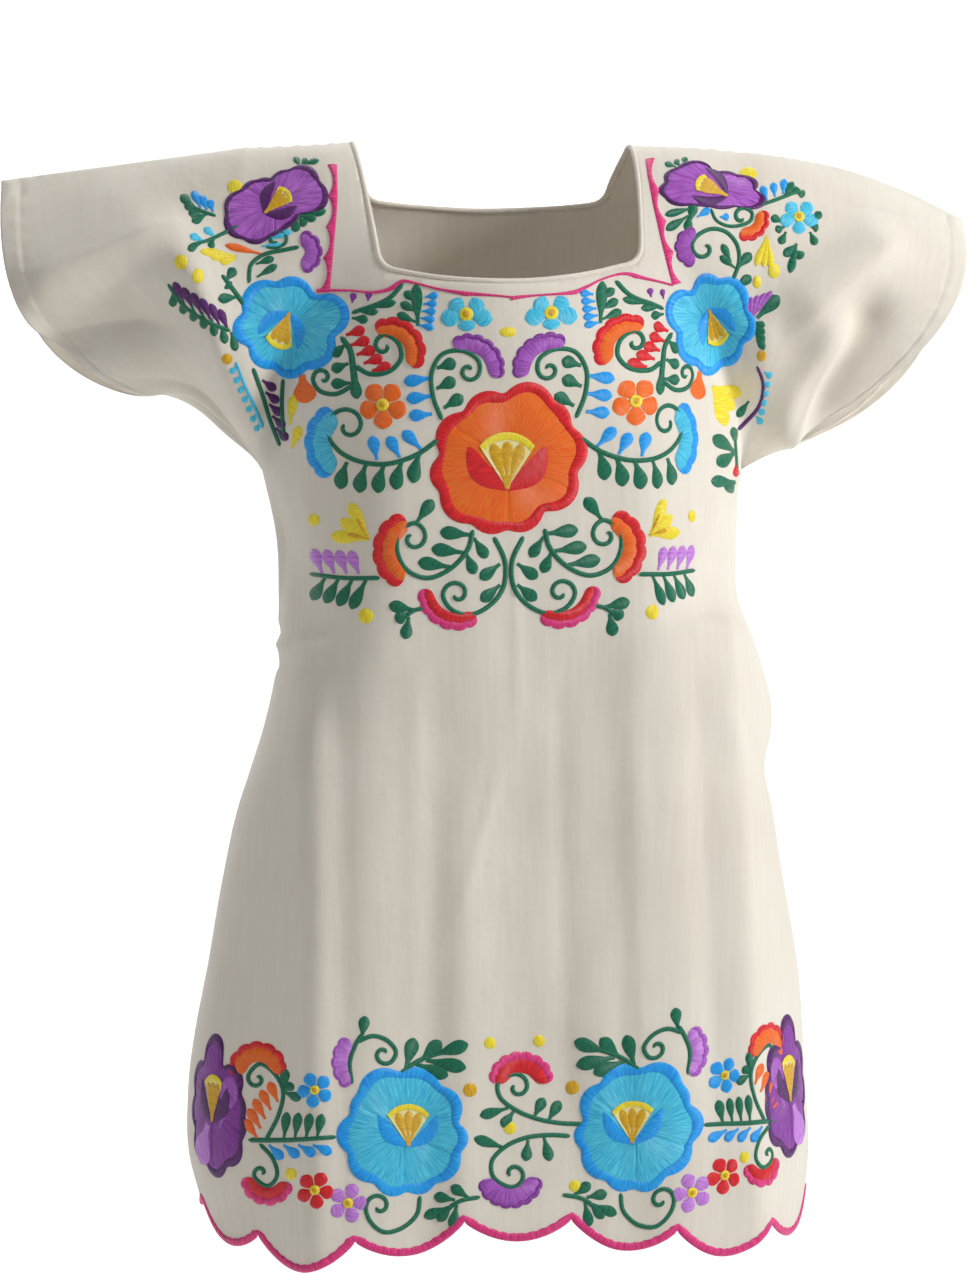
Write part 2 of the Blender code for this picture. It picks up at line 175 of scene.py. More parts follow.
# The folds that the solids have too
FRONT_FOLDS = (
    Fold(x0=-0.123, z0=-0.330, x1=-0.123, z1=-0.760, width=0.020, height=0.0075, crisp=True),
    Fold(x0=0.132, z0=-0.300, x1=0.156, z1=-0.740, width=0.016, height=0.0045, crisp=True),
    Fold(x0=-0.078, z0=-0.180, x1=-0.088, z1=-0.760, width=0.030, height=0.0050),
    Fold(x0=0.082, z0=-0.180, x1=0.096, z1=-0.760, width=0.030, height=0.0050),
    Fold(x0=0.004, z0=-0.240, x1=0.012, z1=-0.640, width=0.034, height=-0.0060),
    Fold(x0=-0.032, z0=-0.420, x1=-0.036, z1=-0.740, width=0.014, height=0.0035),
    Fold(x0=0.052, z0=-0.470, x1=0.056, z1=-0.740, width=0.014, height=0.0030),
    Fold(x0=-0.208, z0=-0.058, x1=-0.306, z1=-0.108, width=0.020, height=0.0110, crisp=True),
    Fold(x0=-0.222, z0=-0.106, x1=-0.290, z1=-0.140, width=0.026, height=-0.0100),
    Fold(x0=-0.206, z0=-0.062, x1=-0.158, z1=-0.190, width=0.018, height=0.0090),
    Fold(x0=0.214, z0=-0.112, x1=0.172, z1=-0.192, width=0.012, height=0.0080),
    Fold(x0=0.246, z0=-0.056, x1=0.176, z1=-0.108, width=0.016, height=0.0070),
    Fold(x0=0.236, z0=-0.098, x1=0.190, z1=-0.168, width=0.014, height=-0.0070),
    Fold(x0=-0.150, z0=-0.230, x1=-0.112, z1=-0.330, width=0.014, height=-0.0050),
    Fold(x0=0.150, z0=-0.220, x1=0.118, z1=-0.300, width=0.014, height=-0.0050),
)

BACK_FOLDS = (
    Fold(x0=-0.118, z0=-0.300, x1=-0.126, z1=-0.760, width=0.018, height=0.0060, crisp=True),
    Fold(x0=0.124, z0=-0.290, x1=0.134, z1=-0.760, width=0.018, height=0.0060, crisp=True),
    Fold(x0=-0.062, z0=-0.170, x1=-0.070, z1=-0.760, width=0.030, height=0.0045),
    Fold(x0=0.066, z0=-0.170, x1=0.078, z1=-0.760, width=0.030, height=0.0045),
    Fold(x0=0.004, z0=-0.200, x1=0.002, z1=-0.700, width=0.030, height=-0.0060),
    Fold(x0=0.034, z0=-0.440, x1=0.038, z1=-0.740, width=0.014, height=0.0035),
    Fold(x0=-0.214, z0=-0.060, x1=-0.296, z1=-0.112, width=0.020, height=0.0080),
    Fold(x0=-0.204, z0=-0.070, x1=-0.160, z1=-0.188, width=0.016, height=0.0070),
    Fold(x0=0.240, z0=-0.060, x1=0.176, z1=-0.120, width=0.016, height=0.0070),
    Fold(x0=0.222, z0=-0.118, x1=0.176, z1=-0.186, width=0.014, height=0.0070),
)

# Finer creases, only in the cloth's fine surface
FRONT_CREASES = (
    Fold(x0=-0.114, z0=-0.300, x1=-0.114, z1=-0.790, width=0.024, height=0.0085, crisp=True),
    Fold(x0=0.130, z0=-0.270, x1=0.150, z1=-0.790, width=0.020, height=0.0065, crisp=True),
    Fold(x0=-0.054, z0=-0.270, x1=-0.056, z1=-0.790, width=0.030, height=-0.0050),
    Fold(x0=0.056, z0=-0.250, x1=0.064, z1=-0.790, width=0.032, height=-0.0050),
    Fold(x0=-0.300, z0=-0.135, x1=-0.200, z1=-0.105, width=0.022, height=-0.0120),
    Fold(x0=-0.298, z0=-0.094, x1=-0.190, z1=-0.058, width=0.012, height=0.0060, crisp=True),
    Fold(x0=-0.225, z0=-0.120, x1=-0.170, z1=-0.205, width=0.024, height=-0.0120),
    Fold(x0=-0.200, z0=-0.080, x1=-0.150, z1=-0.200, width=0.010, height=0.0050, crisp=True),
    Fold(x0=0.252, z0=-0.060, x1=0.182, z1=-0.118, width=0.009, height=0.0060, crisp=True),
    Fold(x0=0.216, z0=-0.118, x1=0.180, z1=-0.196, width=0.008, height=0.0065, crisp=True),
    Fold(x0=0.232, z0=-0.104, x1=0.186, z1=-0.176, width=0.010, height=-0.0055),
    Fold(x0=0.200, z0=-0.034, x1=0.288, z1=-0.044, width=0.003, height=-0.0022),
    Fold(x0=-0.146, z0=-0.318, x1=-0.108, z1=-0.312, width=0.0040, height=0.0030),
    Fold(x0=-0.144, z0=-0.330, x1=-0.116, z1=-0.334, width=0.0035, height=-0.0022),
    Fold(x0=0.092, z0=-0.300, x1=0.136, z1=-0.296, width=0.0040, height=-0.0024),
    Fold(x0=0.104, z0=-0.306, x1=0.150, z1=-0.312, width=0.0045, height=0.0026),
    Fold(x0=0.134, z0=-0.352, x1=0.158, z1=-0.402, width=0.0045, height=-0.0026),
    Fold(x0=0.000, z0=-0.250, x1=0.002, z1=-0.372, width=0.0022, height=0.0010, crisp=True),
    Fold(x0=-0.010, z0=-0.395, x1=-0.034, z1=-0.480, width=0.0028, height=0.0010),
    Fold(x0=-0.060, z0=-0.330, x1=-0.062, z1=-0.560, width=0.0070, height=0.0014),
    Fold(x0=-0.102, z0=-0.340, x1=-0.104, z1=-0.660, width=0.0070, height=-0.0016),
    Fold(x0=0.028, z0=-0.340, x1=0.030, z1=-0.600, width=0.0070, height=-0.0014),
    Fold(x0=0.072, z0=-0.330, x1=0.078, z1=-0.620, width=0.0080, height=0.0016),
    Fold(x0=0.112, z0=-0.330, x1=0.124, z1=-0.640, width=0.0080, height=-0.0018),
)

BACK_CREASES = (
    Fold(x0=-0.140, z0=-0.300, x1=-0.100, z1=-0.308, width=0.0045, height=0.0026),
    Fold(x0=0.096, z0=-0.316, x1=0.140, z1=-0.306, width=0.0045, height=0.0026),
    Fold(x0=0.000, z0=-0.060, x1=0.001, z1=-0.300, width=0.0022, height=0.0010, crisp=True),
    Fold(x0=-0.034, z0=-0.300, x1=-0.040, z1=-0.580, width=0.0070, height=0.0014),
    Fold(x0=-0.094, z0=-0.320, x1=-0.100, z1=-0.640, width=0.0075, height=-0.0016),
    Fold(x0=0.094, z0=-0.330, x1=0.102, z1=-0.650, width=0.0075, height=0.0016),
)


def ease(value: np.ndarray) -> np.ndarray:
    """A smooth step from 0 to 1."""
    value = np.clip(value, 0.0, 1.0)
    return value * value * (3.0 - 2.0 * value)


def through(xs: Sequence[float], ys: Sequence[float], at: np.ndarray) -> np.ndarray:
    """Read a smooth curve through points.

    Args:
        xs: Where the points lie, rising.
        ys: The points' values.
        at: The places to read.

    Returns:
        The curve's values there.
    """
    xs, ys, at = np.asarray(xs), np.asarray(ys), np.clip(at, xs[0], xs[-1])
    slopes = np.gradient(ys, xs)
    i = np.clip(np.searchsorted(xs, at) - 1, 0, len(xs) - 2)
    span = xs[i + 1] - xs[i]
    t = (at - xs[i]) / span
    from_left = ys[i] * (1 + 2 * t) * (1 - t) ** 2 + ys[i + 1] * t * t * (3 - 2 * t)
    from_slopes = span * (slopes[i] * t * (1 - t) ** 2 - slopes[i + 1] * t * t * (1 - t))
    return from_left + from_slopes


def unit(vectors: np.ndarray) -> np.ndarray:
    """The vectors, each made one long."""
    return vectors / np.maximum(np.linalg.norm(vectors, axis=-1, keepdims=True), 1e-9)


@dataclass
class ClothForm:
    """The outer surface of one panel: a point for each place (across, rise).

    Across runs from -1 to 1 over the body and on to -2 and 2 at the cuffs. Rise is 0 at the hem,
    1 at the underarm and 2 at the seam along the shoulder and the sleeve's top.
    """

    side: Side
    left: SleeveHalf
    right: SleeveHalf
    folds: tuple[Fold, ...]
    creases: tuple[Fold, ...]
    neck: NeckCut
    share: np.ndarray = field(init=False)
    angles: np.ndarray = field(init=False)

    def __post_init__(self) -> None:
        """Work out which angle round the body each share of the hem's length has."""
        self.angles = np.linspace(-math.pi / 2, math.pi / 2, 361)
        x, y = self.ring_point(self.angles, np.full_like(self.angles, HEM_LINE[2].z))
        length = np.concatenate([[0.0], np.cumsum(np.hypot(np.diff(x), np.diff(y)))])
        self.share = 2.0 * length / length[-1] - 1.0

    @property
    def depth_name(self) -> str:
        """The ring column that holds this panel's depth."""
        return "front" if self.side is Side.FRONT else "back"

    @staticmethod
    def ring_value(name: str, z: np.ndarray) -> np.ndarray:
        """A column of the ring table, read at the heights z."""
        return through([ring.z for ring in RINGS], [getattr(ring, name) for ring in RINGS], z)

    def ring_point(self, angle: np.ndarray, z: np.ndarray) -> tuple[np.ndarray, np.ndarray]:
        """The x and depth of the body's ring at an angle from the middle of the panel."""
        sine, cosine = np.sin(angle), np.cos(angle)
        width = np.where(angle < 0, self.ring_value("left", z), self.ring_value("right", z))
        depth = self.ring_value(self.depth_name, z)
        square = self.ring_value("square", z)
        reach = (np.abs(sine) ** square + np.abs(cosine) ** square) ** (-1.0 / square)
        return width * sine * reach, depth * cosine * reach

    @staticmethod
    def hem_height(across: np.ndarray) -> np.ndarray:
        """The scalloped hem's height: 8 arcs a panel, with their cusps up."""
        cusps = through([p.across for p in HEM_LINE], [p.z for p in HEM_LINE], across)
        place = across * SCALLOPS_A_PANEL / 2.0
        return cusps - SCALLOP_DROP * np.abs(np.cos(math.pi * place)) ** 0.8

    @staticmethod
    def shoulder_height(x: np.ndarray) -> np.ndarray:
        """The top seam's height between the armholes."""
        return 0.002 - 0.0035 * ease((np.abs(x) - 0.09) / 0.08)

    def smooth(self, across: np.ndarray, rise: np.ndarray) -> np.ndarray:
        """Points of the panel without its folds.

        Args:
            across: Places across the panel.
            rise: Places up the panel.

        Returns:
            The points, in a last axis of 3.
        """
        body = np.clip(across, -1.0, 1.0)
        angle = np.interp(body, self.share, self.angles)
        low = np.clip(rise, 0.0, 1.0)
        up = np.clip(rise - 1.0, 0.0, 1.0)
        hem = self.hem_height(body)
        z_low = hem + low * (UNDERARM_Z - hem)
        x_low, depth_low = self.ring_point(angle, z_low)

        chest = ease(up / CHEST_BLEND)
        x = (1 - chest) * x_low + chest * body * ARMHOLE_X
        near_arm = ease((np.abs(body) * ARMHOLE_X - NECK_ZONE_X) / (ARMHOLE_X - NECK_ZONE_X))
        quarter = np.sin(math.pi * up / 2)
        half = (1 - np.cos(math.pi * up)) / 2
        climb = (1 - near_arm) * quarter + near_arm * half
        z = UNDERARM_Z + (self.shoulder_height(x) - UNDERARM_Z) * climb
        middle = self.ring_value(self.depth_name, np.float64(UNDERARM_Z))
        outward = ease(np.abs(body))
        chest_depth = middle * (1 - outward) * np.cos(math.pi * up / 2)
        depth = (1 - chest) * depth_low * np.cos(math.pi * up / 2)
        depth = depth + chest * (chest_depth + outward * ARM_DEPTH * np.sin(math.pi * up))

        for sleeve, sign in ((self.left, -1), (self.right, 1)):
            out = np.clip(sign * across - 1.0, 0.0, 1.0)
            on = (sign * across > 1.0) & (rise >= 1.0)
            cuff_x = sleeve.end_x + (sleeve.tip_x - sleeve.end_x) * (1 - (1 - up) ** sleeve.swell)
            cuff_z = sleeve.end_z + (sleeve.tip_z - sleeve.end_z) * up**sleeve.climb
            bow = np.sin(math.pi * out) * (sleeve.top_bow * up**2 + sleeve.under_bow * (1 - up) ** 2)
            open_arm = (1 - out) * chest + out
            reach = (1 - out) * ARM_DEPTH + out * CUFF_DEPTH
            x = np.where(on, (1 - out) * x + out * cuff_x, x)
            z = np.where(on, (1 - out) * z + out * cuff_z + bow, z)
            depth = np.where(on, reach * open_arm * np.sin(math.pi * up), depth)

        below = rise < 1.0
        x = np.where(below, x_low, x)
        z = np.where(below, z_low, z)
        depth = np.where(below, depth_low, depth)
        return np.stack([x, self.side.value * depth, z], axis=-1)

    @staticmethod
    def fold_height(folds: Iterable[Fold], x: np.ndarray, z: np.ndarray) -> np.ndarray:
        """How far the folds stand out at places seen from the front."""
        total = np.zeros_like(x)
        for fold in folds:
            along = np.array([fold.x1 - fold.x0, fold.z1 - fold.z0])
            length = float(np.hypot(*along))
            along = along / length
            run = ((x - fold.x0) * along[0] + (z - fold.z0) * along[1]) / length
            aside = (x - fold.x0) * along[1] - (z - fold.z0) * along[0]
            profile = np.exp(-((aside / fold.width) ** 2))
            if fold.crisp:
                profile = np.exp(-np.sqrt((aside / fold.width) ** 2 + 0.01) + 0.1)
            ends = ease((run + 0.15) / 0.35) * ease((1.15 - run) / 0.35)
            total = total + fold.height * profile * ends
        return total

    def outward(self, across: np.ndarray, rise: np.ndarray) -> np.ndarray:
        """Unit normals of the smooth surface, pointing away from the wearer."""
        step = 1e-3
        right = self.smooth(across + step, rise) - self.smooth(across - step, rise)
        upper = np.minimum(rise + step, 2.0)
        lower = np.maximum(rise - step, 0.0)
        high = self.smooth(across, upper) - self.smooth(across, lower)
        return unit(np.cross(right, high) * -self.side.value)

    @staticmethod
    def ripple(points: np.ndarray, rise: np.ndarray) -> np.ndarray:
        """Small uneven waves of starched cotton, up to about half a millimetre, and seam puckers."""
        x, z = points[..., 0], points[..., 2]
        waves = 0.30 * np.sin(x * 61 + 3.1 * np.sin(z * 9.0)) * np.sin(z * 6.3 + 1.0)
        waves += 0.22 * np.sin(x * 113 + 4.0 * np.sin(z * 14.0 + 2.0) + 1.7)
        waves += 0.18 * np.sin(z * 47 + 3.0 * np.sin(x * 23.0)) * np.sin(x * 19 + 0.6)
        below_seam = (2.0 - rise) * 0.20
        pucker = np.sin(x * 2 * math.pi / 0.0095 + 2.2 * np.sin(x * 71)) * np.exp(-((below_seam - 0.006) / 0.006) ** 2)
        return (waves + 0.55 * pucker * (rise > 1.6)) * MM

    def surface(self, across: np.ndarray, rise: np.ndarray) -> tuple[np.ndarray, np.ndarray]:
        """Points of the cloth's outer face with folds and creases, and the smooth normals there."""
        points = self.smooth(across, rise)
        normal = self.outward(across, rise)
        from_side = np.where(rise <= 1.0, ease((1.0 - np.abs(across)) / 0.08), 1.0)
        from_top = ease((2.0 - rise) / 0.18)
        from_under = np.where(np.abs(across) > 1.0, ease((rise - 1.0) / 0.15), 1.0)
        height = self.fold_height(self.folds + self.creases, points[..., 0], points[..., 2])
        height = height * from_side * from_top * from_under
        edge = np.where(rise <= 1.0, ease((1.0 - np.abs(across)) / 0.02), 1.0) * ease((2.0 - rise) / 0.02)
        height = height + self.ripple(points, rise) * edge * from_under
        points = points + normal * height[..., None]
        clear = SEAM_GAP + CLOTH_WALL * np.abs(normal[..., 1])
        points[..., 1] = self.side.value * np.maximum(self.side.value * points[..., 1], clear)
        return points, normal

    def neck_outline(self) -> np.ndarray:
        """The neck cut as points seen from the front, from the left shoulder round to the right one."""
        neck = self.neck
        points = [(neck.left_top, NECK_CUT_TOP), (neck.left_top, 0.0)]
        arcs = []
        for x, z, sign in ((neck.left_low, neck.left_z, 1), (neck.right_low, neck.right_z, -1)):
            centre = (x + sign * neck.corner, z + neck.corner)
            turns = np.linspace(0.0, math.pi / 2, 9)
            reach = neck.corner
            arcs.append([(centre[0] - sign * reach * math.cos(a), centre[1] - reach * math.sin(a)) for a in turns])
        points += arcs[0]
        start, end = arcs[0][-1][0], arcs[1][-1][0]
        for part in np.linspace(0.0, 1.0, 17)[1:-1]:
            level = neck.left_z + (neck.right_z - neck.left_z) * part
            dip = neck.middle_z - (neck.left_z + neck.right_z) / 2
            points.append((start + (end - start) * part, level + dip * 4 * part * (1 - part)))
        points += arcs[1][::-1]
        points += [(neck.right_top, 0.0), (neck.right_top, NECK_CUT_TOP)]
        return np.array(points)

    def settle(self, across: float, rise: float, target: Sequence[float]) -> tuple[float, float]:
        """The place whose point is seen at the target (x, z) from the front, from a place near it."""
        for _ in range(6):
            here = self.smooth(np.array([across, across + 1e-4]), np.array([rise, rise]))
            above = self.smooth(np.array([across]), np.array([min(rise + 1e-4, 2.0)]))
            by_across = (here[1, 0] - here[0, 0]) / 1e-4
            by_rise = (above[0, 2] - here[0, 2]) / 1e-4
            across += (target[0] - here[0, 0]) / max(by_across, 1e-3)
            if by_rise > 1e-3 and rise < 1.985:
                rise = min(rise + (target[1] - here[0, 2]) / by_rise, 2.0)
        return across, rise


def inside(outline: np.ndarray, x: np.ndarray, z: np.ndarray) -> np.ndarray:
    """Whether places lie inside a closed outline, by counting crossings."""
    found = np.zeros(np.shape(x), dtype=bool)
    for (x0, z0), (x1, z1) in zip(outline, np.roll(outline, -1, axis=0)):
        if z0 != z1:
            found ^= ((z0 > z) != (z1 > z)) & (x < (x1 - x0) * (z - z0) / (z1 - z0) + x0)
    return found


def nearest_on(outline: np.ndarray, x: float, z: float) -> np.ndarray:
    """The nearest point of an open outline to a place."""
    place = np.array([x, z])
    start, run = outline[:-1], np.diff(outline, axis=0)
    part = np.clip(((place - start) * run).sum(1) / (run**2).sum(1), 0.0, 1.0)
    feet = start + run * part[:, None]
    return feet[np.argmin(((feet - place) ** 2).sum(1))]


@dataclass(frozen=True)
class PhotoView:
    """The camera: it stands a little to the viewer's left, level, at the height of the waist."""

    distance: float = 2.4
    azimuth_deg: float = -4.5
    metres_a_pixel: float = 0.00064
    aim_x: float = -0.0087
    aim_z: float = -0.3125
    sensor_mm: float = 24.0

    @property
    def forward(self) -> np.ndarray:
        """The direction that the camera looks in."""
        turn = math.radians(self.azimuth_deg)
        return np.array([-math.sin(turn), math.cos(turn), 0.0])

    @property
    def rightward(self) -> np.ndarray:
        """The direction of the picture's right."""
        turn = math.radians(self.azimuth_deg)
        return np.array([math.cos(turn), math.sin(turn), 0.0])

    @property
    def place(self) -> np.ndarray:
        """Where the camera stands."""
        return np.array([self.aim_x, 0.0, self.aim_z]) - self.forward * self.distance

    def ray(self, px: float, py: float) -> tuple[Vector, Vector]:
        """The ray through a pixel of the photograph.

        Args:
            px: Pixels from the left.
            py: Pixels from the top.

        Returns:
            The ray's start and its unit direction.
        """
        right = (px - PHOTO_WIDTH / 2) * self.metres_a_pixel
        up = (PHOTO_HEIGHT / 2 - py) * self.metres_a_pixel
        aim = self.forward * self.distance + self.rightward * right + np.array([0.0, 0.0, up])
        return Vector(self.place), Vector(aim).normalized()

    def add(self) -> None:
        """Add the camera and make it the scene's."""
        data = bpy.data.cameras.new("photo_camera")
        data.sensor_fit = "VERTICAL"
        data.sensor_height = self.sensor_mm
        data.lens = self.sensor_mm * self.distance / (PHOTO_HEIGHT * self.metres_a_pixel)
        camera = bpy.data.objects.new("photo_camera", data)
        bpy.context.scene.collection.objects.link(camera)
        camera.location = self.place
        camera.rotation_euler = (math.pi / 2, 0.0, math.radians(self.azimuth_deg))
        bpy.context.scene.camera = camera


class Thread(Enum):
    """The embroidery threads, by the record's slot."""

    PINK = "thread_pink"
    ORANGE = "thread_orange"
    RED = "thread_red"
    BLUE = "thread_blue"
    CYAN = "thread_cyan"
    PURPLE = "thread_purple"
    MAUVE = "mauve"
    PLUM = "thread_plum"
    LILAC = "thread_lilac"
    GREEN = "thread_green"
    YELLOW = "thread_yellow"
    CREAM = "cream"
    GOLD = "thread_gold"

    @property
    def record_slot(self) -> str:
        """The record's slot; the two half tones share their neighbour's."""
        return {"mauve": "thread_purple", "cream": "thread_yellow"}.get(self.value, self.value)


def linear(red: float, green: float, blue: float) -> tuple[float, float, float, float]:
    """A colour given in 0 to 255 screen values, as Blender's linear one."""
    parts = [value / 255.0 for value in (red, green, blue)]
    return (*(p / 12.92 if p <= 0.04045 else ((p + 0.055) / 1.055) ** 2.4 for p in parts), 1.0)


@dataclass(frozen=True)
class CottonFinish:
    """Plain-woven cream cotton: threads both ways, small slubs, an uneven tint and a soft nap."""

    name: str
    light: tuple[float, float, float, float]
    shade: tuple[float, float, float, float]
    threads_a_metre: float = 1500.0
    weave_depth: float = 0.00022

    def build(self) -> bpy.types.Material:
        """Make the material.

        Returns:
            The node material, on the piece's UV map, in metres of cloth.
        """
        material = bpy.data.materials.new(self.name)
        material.use_nodes = True
        nodes, links = material.node_tree.nodes, material.node_tree.links
        shader = nodes["Principled BSDF"]
        shader.inputs["Roughness"].default_value = 0.88
        shader.inputs["Specular IOR Level"].default_value = 0.25
        shader.inputs["Sheen Weight"].default_value = 0.25
        shader.inputs["Sheen Roughness"].default_value = 0.5
        place = nodes.new("ShaderNodeUVMap")
        place.uv_map = "cloth"
        heights = []
        for direction in ("X", "Y"):
            wave = nodes.new("ShaderNodeTexWave")
            wave.bands_direction = direction
            wave.inputs["Scale"].default_value = self.threads_a_metre / 6.4
            wave.inputs["Distortion"].default_value = 1.2
            wave.inputs["Detail"].default_value = 1.0
            wave.inputs["Detail Scale"].default_value = 0.6
            links.new(place.outputs["UV"], wave.inputs["Vector"])
            heights.append(wave.outputs["Fac"])
        slub_place = nodes.new("ShaderNodeMapping")
        slub_place.inputs["Scale"].default_value = (260.0, 22.0, 1.0)
        links.new(place.outputs["UV"], slub_place.inputs["Vector"])
        slub = nodes.new("ShaderNodeTexNoise")
        slub.inputs["Scale"].default_value = 1.0
        slub.inputs["Detail"].default_value = 3.0
        links.new(slub_place.outputs["Vector"], slub.inputs["Vector"])
        wrinkle = nodes.new("ShaderNodeTexNoise")
        wrinkle.inputs["Scale"].default_value = 34.0
        wrinkle.inputs["Detail"].default_value = 4.0
        links.new(place.outputs["UV"], wrinkle.inputs["Vector"])
        both = nodes.new("ShaderNodeMath")
        both.operation = "ADD"
        links.new(heights[0], both.inputs[0])
        links.new(heights[1], both.inputs[1])
        with_slub = nodes.new("ShaderNodeMath")
        with_slub.operation = "MULTIPLY_ADD"
        links.new(slub.outputs["Fac"], with_slub.inputs[0])
        with_slub.inputs[1].default_value = 1.2
        links.new(both.outputs[0], with_slub.inputs[2])
        weave = nodes.new("ShaderNodeBump")
        weave.inputs["Strength"].default_value = 0.09
        weave.inputs["Distance"].default_value = self.weave_depth
        links.new(with_slub.outputs[0], weave.inputs["Height"])
        soft = nodes.new("ShaderNodeBump")
        soft.inputs["Strength"].default_value = 0.5
        soft.inputs["Distance"].default_value = 0.0016
        links.new(wrinkle.outputs["Fac"], soft.inputs["Height"])
        links.new(weave.outputs["Normal"], soft.inputs["Normal"])
        links.new(soft.outputs["Normal"], shader.inputs["Normal"])
        tint = nodes.new("ShaderNodeTexNoise")
        tint.inputs["Scale"].default_value = 7.0
        tint.inputs["Detail"].default_value = 5.0
        links.new(place.outputs["UV"], tint.inputs["Vector"])
        mix_fac = nodes.new("ShaderNodeMath")
        mix_fac.operation = "MULTIPLY_ADD"
        links.new(slub.outputs["Fac"], mix_fac.inputs[0])
        mix_fac.inputs[1].default_value = 0.5
        links.new(tint.outputs["Fac"], mix_fac.inputs[2])
        ramp = nodes.new("ShaderNodeValToRGB")
        ramp.color_ramp.elements[0].position = 0.45
        ramp.color_ramp.elements[0].color = self.shade
        ramp.color_ramp.elements[1].position = 0.95
        ramp.color_ramp.elements[1].color = self.light
        links.new(mix_fac.outputs[0], ramp.inputs["Fac"])
        links.new(ramp.outputs["Color"], shader.inputs["Base Color"])
        return material


@dataclass(frozen=True)
class ThreadFinish:
    """Satin stitch: lustrous rayon thread whose strands run along the stitch (V), side by side (U)."""

    slot: Thread
    deep: tuple[float, float, float, float]
    bright: tuple[float, float, float, float]
    strands_a_metre: float = 2300.0
    roughness: float = 0.42

    def build(self) -> bpy.types.Material:
        """Make the material.

        Returns:
            The node material, on the stitches' UV map: U across the strands and V along them.
        """
        material = bpy.data.materials.new(self.slot.value)
        material.use_nodes = True
        nodes, links = material.node_tree.nodes, material.node_tree.links
        shader = nodes["Principled BSDF"]
        shader.inputs["Roughness"].default_value = self.roughness
        shader.inputs["Specular IOR Level"].default_value = 0.45
        shader.inputs["Sheen Weight"].default_value = 0.12
        shader.inputs["Sheen Roughness"].default_value = 0.4
        place = nodes.new("ShaderNodeUVMap")
        place.uv_map = "stitch"
        strands = nodes.new("ShaderNodeTexWave")
        strands.bands_direction = "X"
        strands.inputs["Scale"].default_value = self.strands_a_metre / 6.4
        strands.inputs["Distortion"].default_value = 2.0
        strands.inputs["Detail"].default_value = 2.0
        strands.inputs["Detail Scale"].default_value = 0.5
        links.new(place.outputs["UV"], strands.inputs["Vector"])
        stretch = nodes.new("ShaderNodeMapping")
        stretch.inputs["Scale"].default_value = (900.0, 90.0, 1.0)
        links.new(place.outputs["UV"], stretch.inputs["Vector"])
        streak = nodes.new("ShaderNodeTexNoise")
        streak.inputs["Scale"].default_value = 1.0
        streak.inputs["Detail"].default_value = 4.0
        streak.inputs["Roughness"].default_value = 0.6
        links.new(stretch.outputs["Vector"], streak.inputs["Vector"])
        bump = nodes.new("ShaderNodeBump")
        bump.inputs["Strength"].default_value = 0.6
        bump.inputs["Distance"].default_value = 0.00025
        links.new(strands.outputs["Fac"], bump.inputs["Height"])
        links.new(bump.outputs["Normal"], shader.inputs["Normal"])
        ramp = nodes.new("ShaderNodeValToRGB")
        ramp.color_ramp.elements[0].position = 0.32
        ramp.color_ramp.elements[0].color = self.deep
        ramp.color_ramp.elements[1].position = 0.66
        ramp.color_ramp.elements[1].color = self.bright
        links.new(streak.outputs["Fac"], ramp.inputs["Fac"])
        links.new(ramp.outputs["Color"], shader.inputs["Base Color"])
        return material


THREADS = (
    ThreadFinish(Thread.PINK, deep=linear(205, 26, 101), bright=linear(255, 73, 156)),
    ThreadFinish(Thread.ORANGE, deep=linear(255, 86, 9), bright=linear(255, 134, 40)),
    ThreadFinish(Thread.RED, deep=linear(194, 9, 24), bright=linear(255, 37, 46)),
    ThreadFinish(Thread.BLUE, deep=linear(0, 134, 249), bright=linear(37, 189, 255)),
    ThreadFinish(Thread.CYAN, deep=linear(20, 174, 229), bright=linear(101, 229, 255)),
    ThreadFinish(Thread.PURPLE, deep=linear(108, 29, 134), bright=linear(165, 73, 189)),
    ThreadFinish(Thread.MAUVE, deep=linear(139, 59, 167), bright=linear(202, 114, 227)),
    ThreadFinish(Thread.CREAM, deep=linear(255, 229, 132), bright=linear(255, 255, 198)),
    ThreadFinish(Thread.PLUM, deep=linear(57, 11, 77), bright=linear(108, 37, 128)),
    ThreadFinish(Thread.LILAC, deep=linear(174, 97, 205), bright=linear(227, 156, 249)),
    ThreadFinish(Thread.GREEN, deep=linear(2, 81, 62), bright=linear(13, 136, 99)),
    ThreadFinish(Thread.YELLOW, deep=linear(251, 205, 15), bright=linear(255, 251, 73)),
    ThreadFinish(Thread.GOLD, deep=linear(202, 147, 7), bright=linear(246, 196, 37)),
)
CREAM_COTTON = CottonFinish("cream_cotton", light=linear(238, 232, 220), shade=linear(226, 218, 204))
CREAM_BIAS = CottonFinish("cream_bias", light=linear(240, 234, 222), shade=linear(226, 217, 202))
SEAM_THREAD = CottonFinish("seam_thread", light=linear(226, 216, 198), shade=linear(200, 188, 168))


